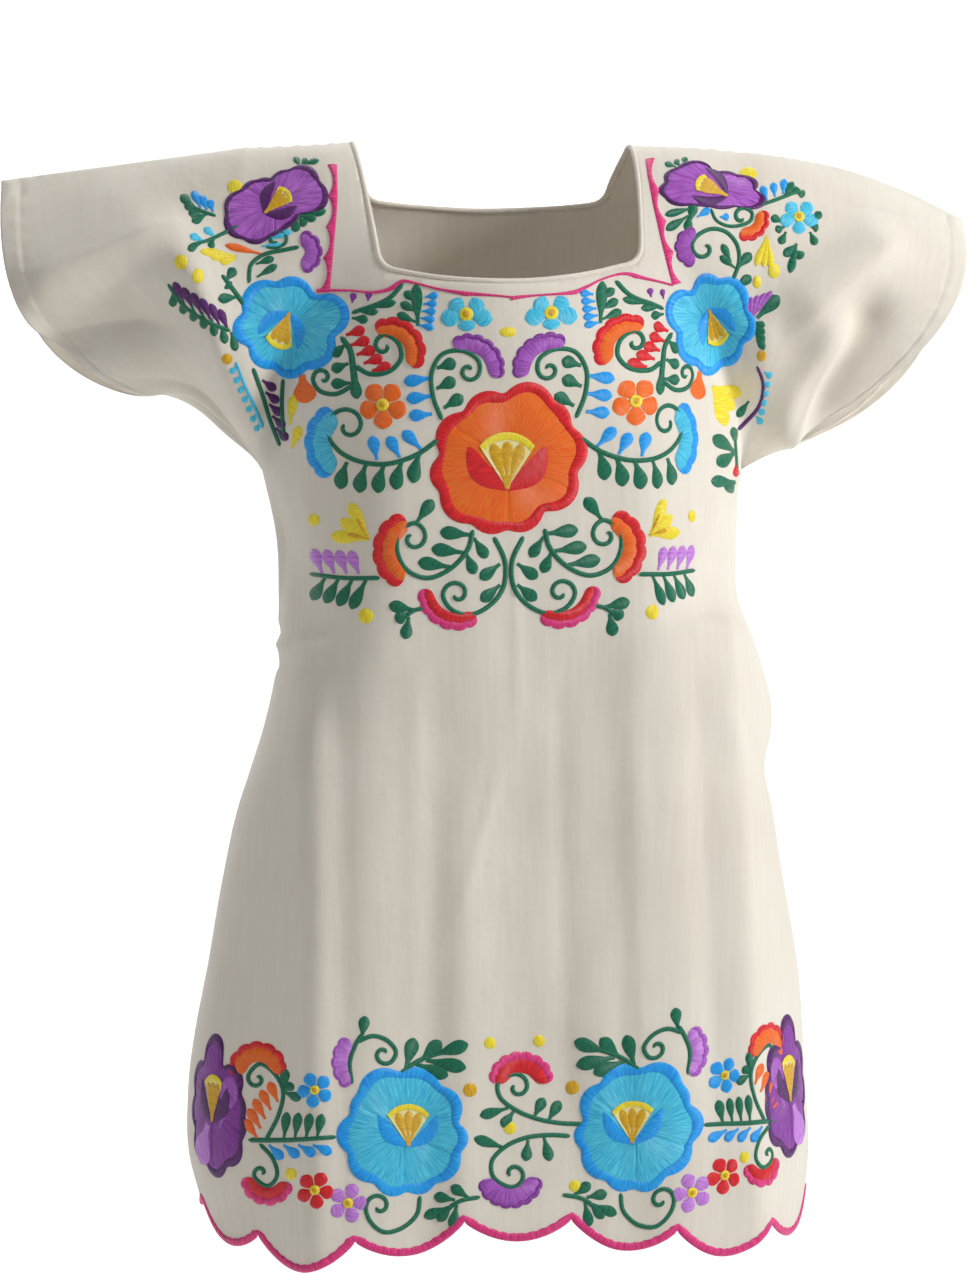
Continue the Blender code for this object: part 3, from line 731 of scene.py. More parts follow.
@dataclass
class MeshWork:
    """Points, faces and cloth coordinates gathered for one piece."""

    points: list = field(default_factory=list)
    faces: list = field(default_factory=list)
    coords: list = field(default_factory=list)

    def grid(self, spots: np.ndarray, coords: np.ndarray, around: bool = False, flip: bool = False) -> None:
        """Add a grid of points as quads.

        Args:
            spots: The points, rows by columns by 3.
            coords: Their UV coordinates, rows by columns by 2.
            around: Whether the columns close on themselves.
            flip: Whether the faces are turned over.
        """
        rows, columns = spots.shape[:2]
        base = sum(len(block) for block in self.points)
        self.points.append(spots.reshape(-1, 3))
        self.coords.append(coords.reshape(-1, 2))
        number = base + np.arange(rows * columns).reshape(rows, columns)
        if around:
            number = np.concatenate([number, number[:, :1]], axis=1)
        quads = np.stack([number[:-1, :-1], number[:-1, 1:], number[1:, 1:], number[1:, :-1]], axis=-1)
        quads = quads.reshape(-1, 4)
        self.faces.append(quads[:, ::-1] if flip else quads)

    def build(self, name: str, layer: str, material: bpy.types.Material) -> bpy.types.Object:
        """Make the piece.

        Args:
            name: The piece's name.
            layer: The name of its UV map.
            material: Its finish.

        Returns:
            The new object, at the origin.
        """
        points = np.concatenate(self.points)
        coords = np.concatenate(self.coords)
        faces = np.concatenate(self.faces)
        mesh = bpy.data.meshes.new(name)
        mesh.from_pydata(points.tolist(), [], faces.tolist())
        uv = mesh.uv_layers.new(name=layer)
        corner = np.empty(len(mesh.loops), dtype=np.int64)
        mesh.loops.foreach_get("vertex_index", corner)
        uv.data.foreach_set("uv", coords[corner].astype(np.float32).ravel())
        mesh.shade_smooth()
        mesh.materials.append(material)
        mesh.update()
        piece = bpy.data.objects.new(name, mesh)
        bpy.context.scene.collection.objects.link(piece)
        return piece


@dataclass
class ClothPanel:
    """One cut panel of cotton, as a fine thin shell with its hems, and its outer face for the embroidery."""

    name: str
    form: ClothForm
    columns_a_scallop: int = 16
    sleeve_columns: int = 30
    cuff_columns: int = 12
    lower_rows: int = 112
    upper_rows: int = 60
    cuff_hem: float = 0.0095
    across: np.ndarray = field(init=False)
    rise: np.ndarray = field(init=False)
    outer: np.ndarray = field(init=False)
    normals: np.ndarray = field(init=False)
    kept: np.ndarray = field(init=False)
    rim: list = field(init=False)

    def __post_init__(self) -> None:
        """Lay out the grid, cut the neck and work out the outer face."""
        self.lay_out()
        self.cut_neck()
        self.outer, self.normals = self.form.surface(self.across, self.rise)
        self.hem_the_cuffs()

    def lay_out(self) -> None:
        """Set the grid's places: even over the body, closer together at the cuffs' hems."""
        half = SCALLOPS_A_PANEL * self.columns_a_scallop // 2
        body = np.linspace(0.0, 1.0, half + 1)
        turn_in = 1.0 - 0.012 / 0.125
        sleeve = 1.0 + np.linspace(0.0, turn_in, self.sleeve_columns + 1)[1:]
        cuff = 1.0 + turn_in + (1.0 - turn_in) * np.linspace(0.0, 1.0, self.cuff_columns + 1)[1:]
        side = np.concatenate([body, sleeve, cuff])
        columns = np.concatenate([-side[:0:-1], side])
        low = np.arange(self.lower_rows) / self.lower_rows
        high = 1.0 + np.arange(self.upper_rows + 1) / self.upper_rows
        rows = np.concatenate([low, high])
        self.across, self.rise = np.meshgrid(columns, rows, indexing="ij")

    def cut_neck(self) -> None:
        """Leave out the cells inside the neck and under the sleeves, and move the rim onto the cut."""
        across, rise = self.across, self.rise
        outline = self.form.neck_outline()
        middle_across = (across[1:, 1:] + across[:-1, :-1]) / 2
        middle_rise = (rise[1:, 1:] + rise[:-1, :-1]) / 2
        seen = self.form.smooth(middle_across, middle_rise)
        gone = inside(outline, seen[..., 0], seen[..., 2]) & (middle_rise > 1.0)
        self.kept = ~gone & ((np.abs(middle_across) < 1.0) | (middle_rise > 1.0))
        touches = [np.zeros(across.shape, dtype=bool), np.zeros(across.shape, dtype=bool)]
        for mask, cells in zip(touches, (self.kept, gone)):
            mask[:-1, :-1] |= cells
            mask[1:, :-1] |= cells
            mask[:-1, 1:] |= cells
            mask[1:, 1:] |= cells
        rim = list(zip(*np.nonzero(touches[0] & touches[1])))
        for key in rim:
            here = self.form.smooth(across[key][None], rise[key][None])[0]
            if rise[key] > 1.995:
                shift = outline[0 if here[0] < 0 else -1][0] - here[0]
                across[key] += shift / ARMHOLE_X
                continue
            foot = nearest_on(outline, here[0], here[2])
            across[key], rise[key] = self.form.settle(float(across[key]), float(rise[key]), foot)
        self.rim = self.chain(set(rim))

    def chain(self, rim: set) -> list:
        """The neck rim's places in order, from the viewer's left to right."""
        links: dict = {key: [] for key in rim}
        for column, row in zip(*np.nonzero(self.kept)):
            corners = [(column, row), (column + 1, row), (column + 1, row + 1), (column, row + 1)]
            if sum(corner in rim for corner in corners) < 2:
                continue
            for a, b in zip(corners, corners[1:] + corners[:1]):
                if a in rim and b in rim and self.count_beside(a, b) == 1:
                    links[a].append(b)
                    links[b].append(a)
        order = [min(key for key in rim if len(links[key]) == 1)]
        while True:
            ahead = [key for key in links[order[-1]] if key not in order]
            if not ahead:
                return order
            order.append(ahead[0])

    def count_beside(self, a: tuple, b: tuple) -> int:
        """How many kept cells lie beside the edge between two grid places."""
        column, row = min(a[0], b[0]), min(a[1], b[1])
        if a[0] == b[0]:
            cells = [(column - 1, row), (column, row)]
        else:
            cells = [(column, row - 1), (column, row)]
        shape = self.kept.shape
        return sum(0 <= c < shape[0] and 0 <= r < shape[1] and bool(self.kept[c, r]) for c, r in cells)

    def hem_the_cuffs(self) -> None:
        """Raise the turned hem at each cuff, with its stitch line and its small puckers."""
        out = np.abs(self.across) - 1.0
        from_edge = (1.0 - out) * 0.125
        on = (out > 0.5) & (self.rise > 1.0)
        z = self.outer[..., 2]
        x = self.outer[..., 0]
        beat = np.sin(2 * math.pi * z / 0.0118 + 1.3 * np.sin(z * 83.0) + 9.0 * x)
        hem = 0.00055 * ease((self.cuff_hem + 0.0012 - from_edge) / 0.0016)
        groove = -0.00050 * np.exp(-(((from_edge - self.cuff_hem) / 0.0011) ** 2))
        pucker = 0.00060 * beat * np.exp(-(((from_edge - self.cuff_hem) / 0.0050) ** 2))
        hold = ease((2.0 - self.rise) / 0.04) * ease((self.rise - 1.0) / 0.04)
        height = np.where(on, (hem + groove + pucker) * hold, 0.0)
        self.outer = self.outer + self.normals * height[..., None]

    def cloth_coords(self) -> np.ndarray:
        """Places on the cloth in metres, from the middle of the underarm line."""
        middle = self.across.shape[0] // 2
        steps = np.linalg.norm(np.diff(self.outer, axis=0), axis=-1)
        along = np.concatenate([np.zeros((1, steps.shape[1])), np.cumsum(steps, axis=0)])
        along = along - along[middle]
        rises = np.linalg.norm(np.diff(self.outer, axis=1), axis=-1)
        rises = np.where(self.across[:, 1:] ** 2 > 1.0, rises * (self.rise[:, 1:] > 1.0), rises)
        height = np.concatenate([np.zeros((rises.shape[0], 1)), np.cumsum(rises, axis=1)], axis=1)
        height = height - height[:, self.lower_rows][:, None]
        return np.stack([along, height], axis=-1)

    def build(self, material: bpy.types.Material) -> bpy.types.Object:
        """Make the panel.

        Args:
            material: The cloth's finish.

        Returns:
            The panel, as a closed thin shell.
        """
        number = np.arange(self.across.size).reshape(self.across.shape)
        quads = np.stack([number[:-1, :-1], number[1:, :-1], number[1:, 1:], number[:-1, 1:]], axis=-1)
        quads = quads[self.kept]
        used, compact = np.unique(quads, return_inverse=True)
        quads = compact.reshape(-1, 4)
        if self.form.side is Side.BACK:
            quads = quads[:, ::-1]
        outer = self.outer.reshape(-1, 3)[used]
        normals = self.normals.reshape(-1, 3)[used]
        inner = outer - normals * CLOTH_WALL
        side = self.form.side.value
        inner[:, 1] = side * np.maximum(side * inner[:, 1], SEAM_GAP)
        count = len(used)
        edges = np.concatenate([quads[:, [0, 1]], quads[:, [1, 2]], quads[:, [2, 3]], quads[:, [3, 0]]])
        code = edges[:, 0] * count + edges[:, 1]
        back = edges[:, 1] * count + edges[:, 0]
        rims = edges[~np.isin(code, back)]
        walls = np.stack([rims[:, 1], rims[:, 0], rims[:, 0] + count, rims[:, 1] + count], axis=-1)
        work = MeshWork()
        coords = self.cloth_coords().reshape(-1, 2)[used]
        work.points = [outer, inner]
        work.coords = [coords, coords]
        work.faces = [quads, quads[:, ::-1] + count, walls]
        return work.build(self.name, "cloth", material)

    def outer_faces(self) -> tuple[list, list]:
        """The points and faces of the outer face, for laying embroidery on it."""
        number = np.arange(self.across.size).reshape(self.across.shape)
        quads = np.stack([number[:-1, :-1], number[1:, :-1], number[1:, 1:], number[:-1, 1:]], axis=-1)
        quads = quads[self.kept]
        if self.form.side is Side.BACK:
            quads = quads[:, ::-1]
        return self.outer.reshape(-1, 3).tolist(), quads.tolist()

    def flat_area(self) -> float:
        """The area of the cloth in square metres."""
        corner = self.outer[:-1, :-1]
        first = np.cross(self.outer[1:, :-1] - corner, self.outer[1:, 1:] - corner)
        second = np.cross(self.outer[1:, 1:] - corner, self.outer[:-1, 1:] - corner)
        area = (np.linalg.norm(first, axis=-1) + np.linalg.norm(second, axis=-1)) / 2
        return float(area[self.kept].sum())

    def flat_size(self) -> tuple[float, float]:
        """Width from cuff to cuff along the top and length at the side of the neck, laid flat."""
        top = np.linalg.norm(np.diff(self.outer[:, -4], axis=0), axis=-1).sum()
        column = self.across.shape[0] // 2 + int(0.66 * SCALLOPS_A_PANEL * self.columns_a_scallop / 2)
        length = np.linalg.norm(np.diff(self.outer[column], axis=0), axis=-1).sum()
        return float(top), float(length)


@dataclass
class HemSatin:
    """The pink satin-stitch edge along a panel's scallops: dense stitches across a rounded band."""

    panel: ClothPanel
    name: str
    steps_a_scallop: int = 40
    width: float = 0.0043
    height: float = 0.0009

    def build(self, material: bpy.types.Material) -> bpy.types.Object:
        """Make the band.

        Args:
            material: The thread's finish.

        Returns:
            The band, laid on the outer face and turned under the edge.
        """
        form = self.panel.form
        half = SCALLOPS_A_PANEL // 2
        work = MeshWork()
        for scallop in range(-half, half):
            low, high = scallop / half, (scallop + 1) / half
            across = np.linspace(low + 1e-4, high - 1e-4, self.steps_a_scallop + 1)
            edge, normal = form.surface(across, np.zeros_like(across))
            along = unit(np.gradient(edge, axis=0))
            upward = unit(np.cross(normal, along))
            upward *= np.where(upward[:, 2:] < 0, -1.0, 1.0)
            step = 1e-3
            by_across = (form.smooth(across + step, 0 * across) - form.smooth(across - step, 0 * across)) / (2 * step)
            by_rise = (form.smooth(across, 0 * across + step) - form.smooth(across, 0 * across)) / step
            rows = []
            coords = []
            shape = np.linspace(0.0, 1.0, 7)
            metric = np.stack([by_across, by_rise], axis=-1)
            inverse = np.linalg.pinv(metric)
            run = np.concatenate([[0.0], np.cumsum(np.linalg.norm(np.diff(edge, axis=0), axis=-1))])
            uneven = 1.0 + 0.07 * np.sin(run * 900.0 + scallop)
            for part in shape:
                reach = self.width * part
                move = np.einsum("nij,nj->ni", inverse, upward * reach * uneven[:, None])
                place = np.clip(across + move[:, 0], low, high)
                spot, out = form.surface(place, np.clip(move[:, 1], 0.0, 1.0))
                lift = self.height * (1.0 - (2 * part - 1.0) ** 4) + 0.0001
                rows.append(spot + out * lift)
                coords.append(np.stack([run, np.full_like(run, reach)], axis=-1))
            under = edge - normal * (CLOTH_WALL + 0.0004) - upward * 0.0001
            below = edge - upward * 0.0007 - normal * CLOTH_WALL / 2
            rows = [under, below] + rows
            coords = [coords[0] - [0.0, 0.0016], coords[0] - [0.0, 0.0008]] + coords
            spots = np.stack(rows)
            work.grid(spots, np.stack(coords), flip=form.side is Side.BACK)
        return work.build(self.name, "stitch", material)


@dataclass
class NeckBinding:
    """The rolled bias strip round the neck edge, drawn in a little by its stitches."""

    name: str
    radius: float = 0.0016
    sides: int = 12
    steps: int = 300

    def build(self, front: ClothPanel, back: ClothPanel, material: bpy.types.Material) -> bpy.types.Object:
        """Make the strip.

        Args:
            front: The front panel, whose neck rim it follows.
            back: The back panel.
            material: Its finish.

        Returns:
            A closed tube round the neck.
        """
        chain = [(front, key) for key in front.rim] + [(back, key) for key in back.rim[::-1]]
        points = np.array([panel.outer[key] - panel.normals[key] * CLOTH_WALL / 2 for panel, key in chain])
        outward = np.array([panel.normals[key] for panel, key in chain])
        gaps = np.linalg.norm(np.roll(points, -1, axis=0) - points, axis=-1)
        at = np.concatenate([[0.0], np.cumsum(gaps)])
        spots = np.linspace(0.0, at[-1], self.steps, endpoint=False)
        closed = np.concatenate([points, points[:1]])
        closed_out = np.concatenate([outward, outward[:1]])
        core = np.stack([np.interp(spots, at, closed[:, i]) for i in range(3)], axis=-1)
        face = np.stack([np.interp(spots, at, closed_out[:, i]) for i in range(3)], axis=-1)
        for _ in range(3):
            core = (np.roll(core, 1, axis=0) + 2 * core + np.roll(core, -1, axis=0)) / 4
            face = (np.roll(face, 1, axis=0) + 2 * face + np.roll(face, -1, axis=0)) / 4
        run = unit(np.roll(core, -1, axis=0) - np.roll(core, 1, axis=0))
        face = unit(face - (face * run).sum(1, keepdims=True) * run)
        inward = np.cross(face, run)
        if ((core.mean(axis=0) - core) * inward).sum() < 0:
            inward = -inward
        turns = np.linspace(0.0, 2 * math.pi, self.sides, endpoint=False)
        pull = 1.0 + 0.07 * np.sin(spots * 2 * math.pi / 0.0042) + 0.05 * np.sin(spots * 71.0)
        ring = []
        coords = []
        for turn in turns:
            offset = inward * math.cos(turn) + face * math.sin(turn)
            ring.append(core + inward * 0.0007 + offset * (self.radius * pull)[:, None])
            coords.append(np.stack([spots, np.full_like(spots, turn * self.radius)], axis=-1))
        work = MeshWork()
        tube = np.stack(ring, axis=1)
        tube = np.concatenate([tube, tube[:1]])
        uv = np.stack(coords, axis=1)
        uv = np.concatenate([uv, uv[:1]])
        work.grid(tube, uv, around=True)
        piece = work.build(self.name, "cloth", material)
        weld_and_face_out(piece)
        return piece


def weld_and_face_out(piece: bpy.types.Object) -> None:
    """Join a piece's doubled points and turn its faces outward."""
    bpy.ops.object.select_all(action="DESELECT")
    piece.select_set(True)
    bpy.context.view_layer.objects.active = piece
    bpy.ops.object.mode_set(mode="EDIT")
    bpy.ops.mesh.select_all(action="SELECT")
    bpy.ops.mesh.remove_doubles(threshold=0.00001)
    bpy.ops.mesh.normals_make_consistent(inside=False)
    bpy.ops.object.mode_set(mode="OBJECT")
    piece.select_set(False)


@dataclass(frozen=True)
class MirrorPlan:
    """How the left half of a pattern is met again on the right: pairs of places in the photograph."""

    left_x_px: tuple[float, ...]
    sum_x_px: tuple[float, ...]
    shift_y_px: tuple[float, ...]

    def across(self, spots: np.ndarray) -> np.ndarray:
        """The mirrored places of pixel spots, in a last axis of 2."""
        x = spots[..., 0]
        total = np.interp(x, self.left_x_px, self.sum_x_px)
        shift = np.interp(x, self.left_x_px, self.shift_y_px)
        return np.stack([total - x, spots[..., 1] + shift], axis=-1)


YOKE_MIRROR = MirrorPlan(
    left_x_px=(225.0, 291.0, 320.0, 367.0, 450.0, 510.0),
    sum_x_px=(988.0, 998.0, 1008.0, 1019.0, 1018.0, 1017.0),
    shift_y_px=(-3.0, -3.0, -4.0, -4.0, -2.0, 0.0),
)
HEM_MIRROR = MirrorPlan(
    left_x_px=(190.0, 211.0, 240.0, 262.0, 314.0, 404.0, 520.0),
    sum_x_px=(990.0, 1000.0, 1020.0, 1030.0, 1040.0, 1040.0, 1044.0),
    shift_y_px=(-20.0, -20.0, -19.0, -19.0, -15.0, -3.0, -2.0),
)


@dataclass
class Bench:
    """Where shapes are stitched: it drops pixel places onto one panel and gathers each thread's mesh."""

    view: PhotoView
    panel: ClothPanel
    tree: BVHTree
    label: str
    mirror: MirrorPlan | None = None
    anchor: tuple[float, float] | None = None
    works: dict = field(default_factory=dict)

    def drop(self, spots: np.ndarray) -> tuple[np.ndarray, np.ndarray]:
        """Drop pixel places onto the cloth.

        Args:
            spots: Places in the photograph, in a last axis of 2.

        Returns:
            The points on the cloth and its normals there.
        """
        if self.mirror is not None:
            spots = self.mirror.across(spots)
        flip = -1.0 if self.panel.form.side is Side.BACK else 1.0
        flat = spots.reshape(-1, 2)
        points = np.empty((len(flat), 3))
        normals = np.empty((len(flat), 3))
        for i, (x_px, y_px) in enumerate(flat.tolist()):
            start, ray = self.view.ray(x_px, y_px)
            start.y *= flip
            ray.y *= flip
            hit, normal, _, _ = self.tree.ray_cast(start, ray)
            if hit is None:
                hit, normal, _, _ = self.tree.find_nearest(start + ray * (self.view.distance - 0.04))
            points[i] = hit
            normals[i] = normal
        return points.reshape(*spots.shape[:-1], 3), normals.reshape(*spots.shape[:-1], 3)

    def wrap(self, spots: np.ndarray) -> tuple[np.ndarray, np.ndarray]:
        """Lay places out from the anchor along the cloth, for shapes that turn round the side.

        Args:
            spots: Places in pixels, in a last axis of 2.

        Returns:
            The points on the cloth and its normals there.
        """
        start, face = self.drop(np.array([self.anchor]))
        sign = -1.0 if self.mirror is not None else 1.0
        offsets = (spots - np.array(self.anchor)).reshape(-1, 2) * [sign, -1.0]
        steps = 6
        points = np.repeat(start, len(offsets), axis=0)
        normals = np.repeat(face, len(offsets), axis=0)
        for _ in range(steps):
            right = unit(np.cross([0.0, 0.0, 1.0], normals))
            right = right * (-1.0 if self.panel.form.side is Side.BACK else 1.0)
            upward = unit(np.cross(normals, right))
            upward = upward * np.where(upward[:, 2:] < 0, -1.0, 1.0)
            move = right * offsets[:, :1] + upward * offsets[:, 1:]
            places = points + move * (self.view.metres_a_pixel / steps)
            for i, place in enumerate(places):
                hit, out, _, _ = self.tree.find_nearest(Vector(place))
                points[i] = hit
                normals[i] = out
        return points.reshape(*spots.shape[:-1], 3), normals.reshape(*spots.shape[:-1], 3)

    def stitch(
        self,
        thread: Thread,
        spots: np.ndarray,
        lift_mm: np.ndarray,
        coords_px: np.ndarray,
    ) -> None:
        """Add one stitched patch.

        Args:
            thread: Its thread.
            spots: A grid of pixel places.
            lift_mm: How far each point stands off the cloth.
            coords_px: U across the strands and V along them, in pixels.
        """
        points, normals = self.drop(spots) if self.anchor is None else self.wrap(spots)
        raised = points + normals * (lift_mm * MM)[..., None]
        row, column = spots.shape[0] // 2, spots.shape[1] // 2
        across = points[row, column] - points[row, column - 1]
        down = points[row, column] - points[row - 1, column]
        flip = float(np.cross(across, down) @ normals[row, column]) < 0
        work = self.works.setdefault(thread, MeshWork())
        work.grid(raised, coords_px * self.view.metres_a_pixel, flip=not flip)

    def finish(self, finishes: dict) -> list[bpy.types.Object]:
        """Make one piece for each thread.

        Args:
            finishes: The materials by slot name.

        Returns:
            The pieces, riding on the blouse.
        """
        pieces = []
        for thread, work in self.works.items():
            piece = work.build(f"{self.label}_{thread.name.lower()}_stitches", "stitch", finishes[thread.value])
            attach(piece, "root")
            thread.record_slot
            pieces.append(piece)
        return pieces


def smooth_path(x_px: Sequence[float], y_px: Sequence[float], gap_px: float = 1.6) -> np.ndarray:
    """A smooth line through pixel places, with even steps."""
    knots = np.stack([np.asarray(x_px, float), np.asarray(y_px, float)], axis=-1)
    at = np.concatenate([[0.0], np.cumsum(np.linalg.norm(np.diff(knots, axis=0), axis=-1) ** 0.5)])
    fine = np.linspace(0.0, at[-1], 40 * len(knots))
    line = np.stack([through(at, knots[:, i], fine) for i in range(2)], axis=-1)
    run = np.concatenate([[0.0], np.cumsum(np.linalg.norm(np.diff(line, axis=0), axis=-1))])
    even = np.linspace(0.0, run[-1], max(int(run[-1] / gap_px), 6) + 1)
    return np.stack([np.interp(even, run, line[:, i]) for i in range(2)], axis=-1)


@dataclass(frozen=True)
class Curl:
    """A spiral that a stem ends in: its centre, how far it winds and which way as seen."""

    x_px: float
    y_px: float
    turns: float
    clockwise: bool
    core: float = 0.22


@dataclass(frozen=True)
class Stem:
    """A stitched line through pixel places, which may end in a curl."""

    x_px: tuple[float, ...]
    y_px: tuple[float, ...]
    width: float = 3.2
    end_width: float = 3.6
    curl: Curl | None = None
    thread: Thread = Thread.GREEN
    lift: float = 0.8

    def line(self) -> np.ndarray:
        """The stem's middle line with its curl."""
        x_px, y_px = list(self.x_px), list(self.y_px)
        if self.curl is not None:
            dx, dy = x_px[-1] - self.curl.x_px, y_px[-1] - self.curl.y_px
            reach, begin = math.hypot(dx, dy), math.atan2(dy, dx)
            count = max(int(self.curl.turns * 9), 4)
            for step in range(1, count + 1):
                part = step / count
                turn = begin + (1 if self.curl.clockwise else -1) * part * self.curl.turns * 2 * math.pi
                radius = reach * (1 - part * (1 - self.curl.core))
                x_px.append(self.curl.x_px + radius * math.cos(turn))
                y_px.append(self.curl.y_px + radius * math.sin(turn))
        return smooth_path(x_px, y_px)

    def stitch(self, bench: Bench) -> None:
        """Stitch the line: a rounded ribbon with its strands across it."""
        line = self.line()
        along = unit(np.gradient(line, axis=0))
        side = np.stack([-along[:, 1], along[:, 0]], axis=-1)
        part = np.linspace(0.0, 1.0, len(line))
        width = 1.22 * (self.width + (self.end_width - self.width) * part)
        width = width * np.clip(np.minimum(part, 1 - part) * len(line) / 2.2 + 0.35, 0.0, 1.0)
        shape = np.array([-1.0, -0.62, 0.0, 0.62, 1.0])
        spots = line[:, None] + side[:, None] * (width[:, None] * shape / 2)[..., None]
        lift = np.broadcast_to(0.12 + self.lift * (1 - shape**2), spots.shape[:2])
        run = np.concatenate([[0.0], np.cumsum(np.linalg.norm(np.diff(line, axis=0), axis=-1))])
        coords = np.stack(np.broadcast_arrays(run[:, None], width[:, None] * shape / 2), axis=-1)
        bench.stitch(self.thread, spots, lift, coords)


@dataclass(frozen=True)
class Drops:
    """A row of leaves or drops: each is narrow at its foot and round at its tip.

    The feet run from the first place to the last along a bowed line, and the way from foot to tip
    turns from the first one to the last.
    """

    count: int
    from_x_px: float
    from_y_px: float
    to_x_px: float
    to_y_px: float
    first_tip: tuple[float, float]
    last_tip: tuple[float, float]
    width: float = 7.0
    bow: float = 0.0
    curve: float = 0.0
    thread: Thread = Thread.GREEN
    lift: float = 0.8
    fat_at: float = 0.70
    base: float = 0.12

    def stitch(self, bench: Bench) -> None:
        """Stitch each drop, its strands across it and aslant."""
        for number in range(self.count):
            part = number / max(self.count - 1, 1)
            along = np.array([self.to_x_px - self.from_x_px, self.to_y_px - self.from_y_px])
            foot = np.array([self.from_x_px, self.from_y_px]) + along * part
            if np.hypot(*along) > 0:
                foot = foot + np.array([along[1], -along[0]]) / np.hypot(*along) * self.bow * 4 * part * (1 - part)
            reach = np.array(self.first_tip) * (1 - part) + np.array(self.last_tip) * part
            self.stitch_one(bench, foot, reach)

    def stitch_one(self, bench: Bench, foot: np.ndarray, reach: np.ndarray) -> None:
        """Stitch one drop from its foot."""
        length = float(np.hypot(*reach))
        run = reach / length
        side = np.array([-run[1], run[0]])
        t = 1 - np.linspace(1.0, 0.0, 12) ** 1.35
        power = math.log(0.5) / math.log(self.fat_at)
        full = np.sin(math.pi * np.clip(t, 0.01, 0.995) ** power) ** 0.6
        half = self.width * 0.66 * np.maximum(full, 0.30 * (t < 0.5))
        shape = np.array([-1.0, -0.6, 0.0, 0.6, 1.0])
        middle = foot + run * (length * t)[:, None] + side * (self.curve * length * np.sin(math.pi * t))[:, None]
        spots = middle[:, None] + side * (half[:, None] * shape)[..., None]
        lift = self.base + self.lift * (1 - shape**2)[None] * np.clip(half[:, None] / (self.width / 2), 0.3, 1.0)
        u = np.broadcast_to((length * t)[:, None], lift.shape) + half[:, None] * shape * 0.5
        v = half[:, None] * shape
        bench.stitch(self.thread, spots, lift, np.stack([u, v], axis=-1))


@dataclass(frozen=True)
class Disc:
    """A round dot of stitches."""

    x_px: float
    y_px: float
    radius: float = 5.0
    stretch: float = 1.0
    thread: Thread = Thread.YELLOW
    lift: float = 0.8
    base: float = 0.12

    def stitch(self, bench: Bench) -> None:
        """Stitch the dot with upright strands."""
        turns = np.linspace(0.0, 2 * math.pi, 21)
        rings = np.array([0.0, 0.35, 0.7, 0.9, 1.0])
        x = self.radius * self.stretch * rings * np.cos(turns)[:, None]
        y = self.radius * rings * np.sin(turns)[:, None]
        spots = np.stack([self.x_px + x, self.y_px + y], axis=-1)
        lift = np.broadcast_to(self.base + self.lift * (1 - rings**2) ** 0.7, x.shape)
        bench.stitch(self.thread, spots, lift, np.stack([x, y], axis=-1))


@dataclass(frozen=True)
class Daisy:
    """A small flower of round petals with a two-tone middle."""

    x_px: float
    y_px: float
    radius: float
    petals: int = 5
    turn: float = 90.0
    petal_width: float = 0.62
    thread: Thread = Thread.ORANGE
    middle: Thread = Thread.YELLOW
    heart: Thread = Thread.GOLD
    middle_size: float = 0.26
    flat: float = 1.0

    def stitch(self, bench: Bench) -> None:
        """Stitch the petals, then the middle on top."""
        for number in range(self.petals):
            angle = math.radians(self.turn + 360.0 * number / self.petals)
            reach = (math.cos(angle) * self.radius * 0.88, -math.sin(angle) * self.radius * 0.88 * self.flat)
            foot = (reach[0] * 0.14, reach[1] * 0.14)
            petal = Drops(
                count=1,
                from_x_px=self.x_px + foot[0],
                from_y_px=self.y_px + foot[1],
                to_x_px=self.x_px + foot[0],
                to_y_px=self.y_px + foot[1],
                first_tip=reach,
                last_tip=reach,
                width=self.radius * self.petal_width,
                thread=self.thread,
                fat_at=0.62,
            )
            petal.stitch(bench)
        size = self.radius * self.middle_size
        Disc(self.x_px, self.y_px, size, thread=self.middle, lift=0.8, base=0.6).stitch(bench)
        Disc(self.x_px, self.y_px, size * 0.5, thread=self.heart, lift=0.5, base=1.35).stitch(bench)


@dataclass(frozen=True)
class Lobe:
    """One round lobe of a flower: its direction, the distance of its middle and its radius, in pixels."""

    turn: float
    reach: float
    swell: float


def even_lobes(count: int, reach: float, swell: float, turn: float, uneven: float = 0.08) -> tuple[Lobe, ...]:
    """Lobes all round a flower, each a little different."""
    return tuple(
        Lobe(
            turn=turn + 360.0 * (i + 0.18 * math.sin(2.3 * i + turn)) / count,
            reach=reach * (1 + uneven * math.sin(1.7 * i + 0.3 * turn)),
            swell=swell * (1 + uneven * math.cos(2.9 * i + turn)),
        )
        for i in range(count)
    )


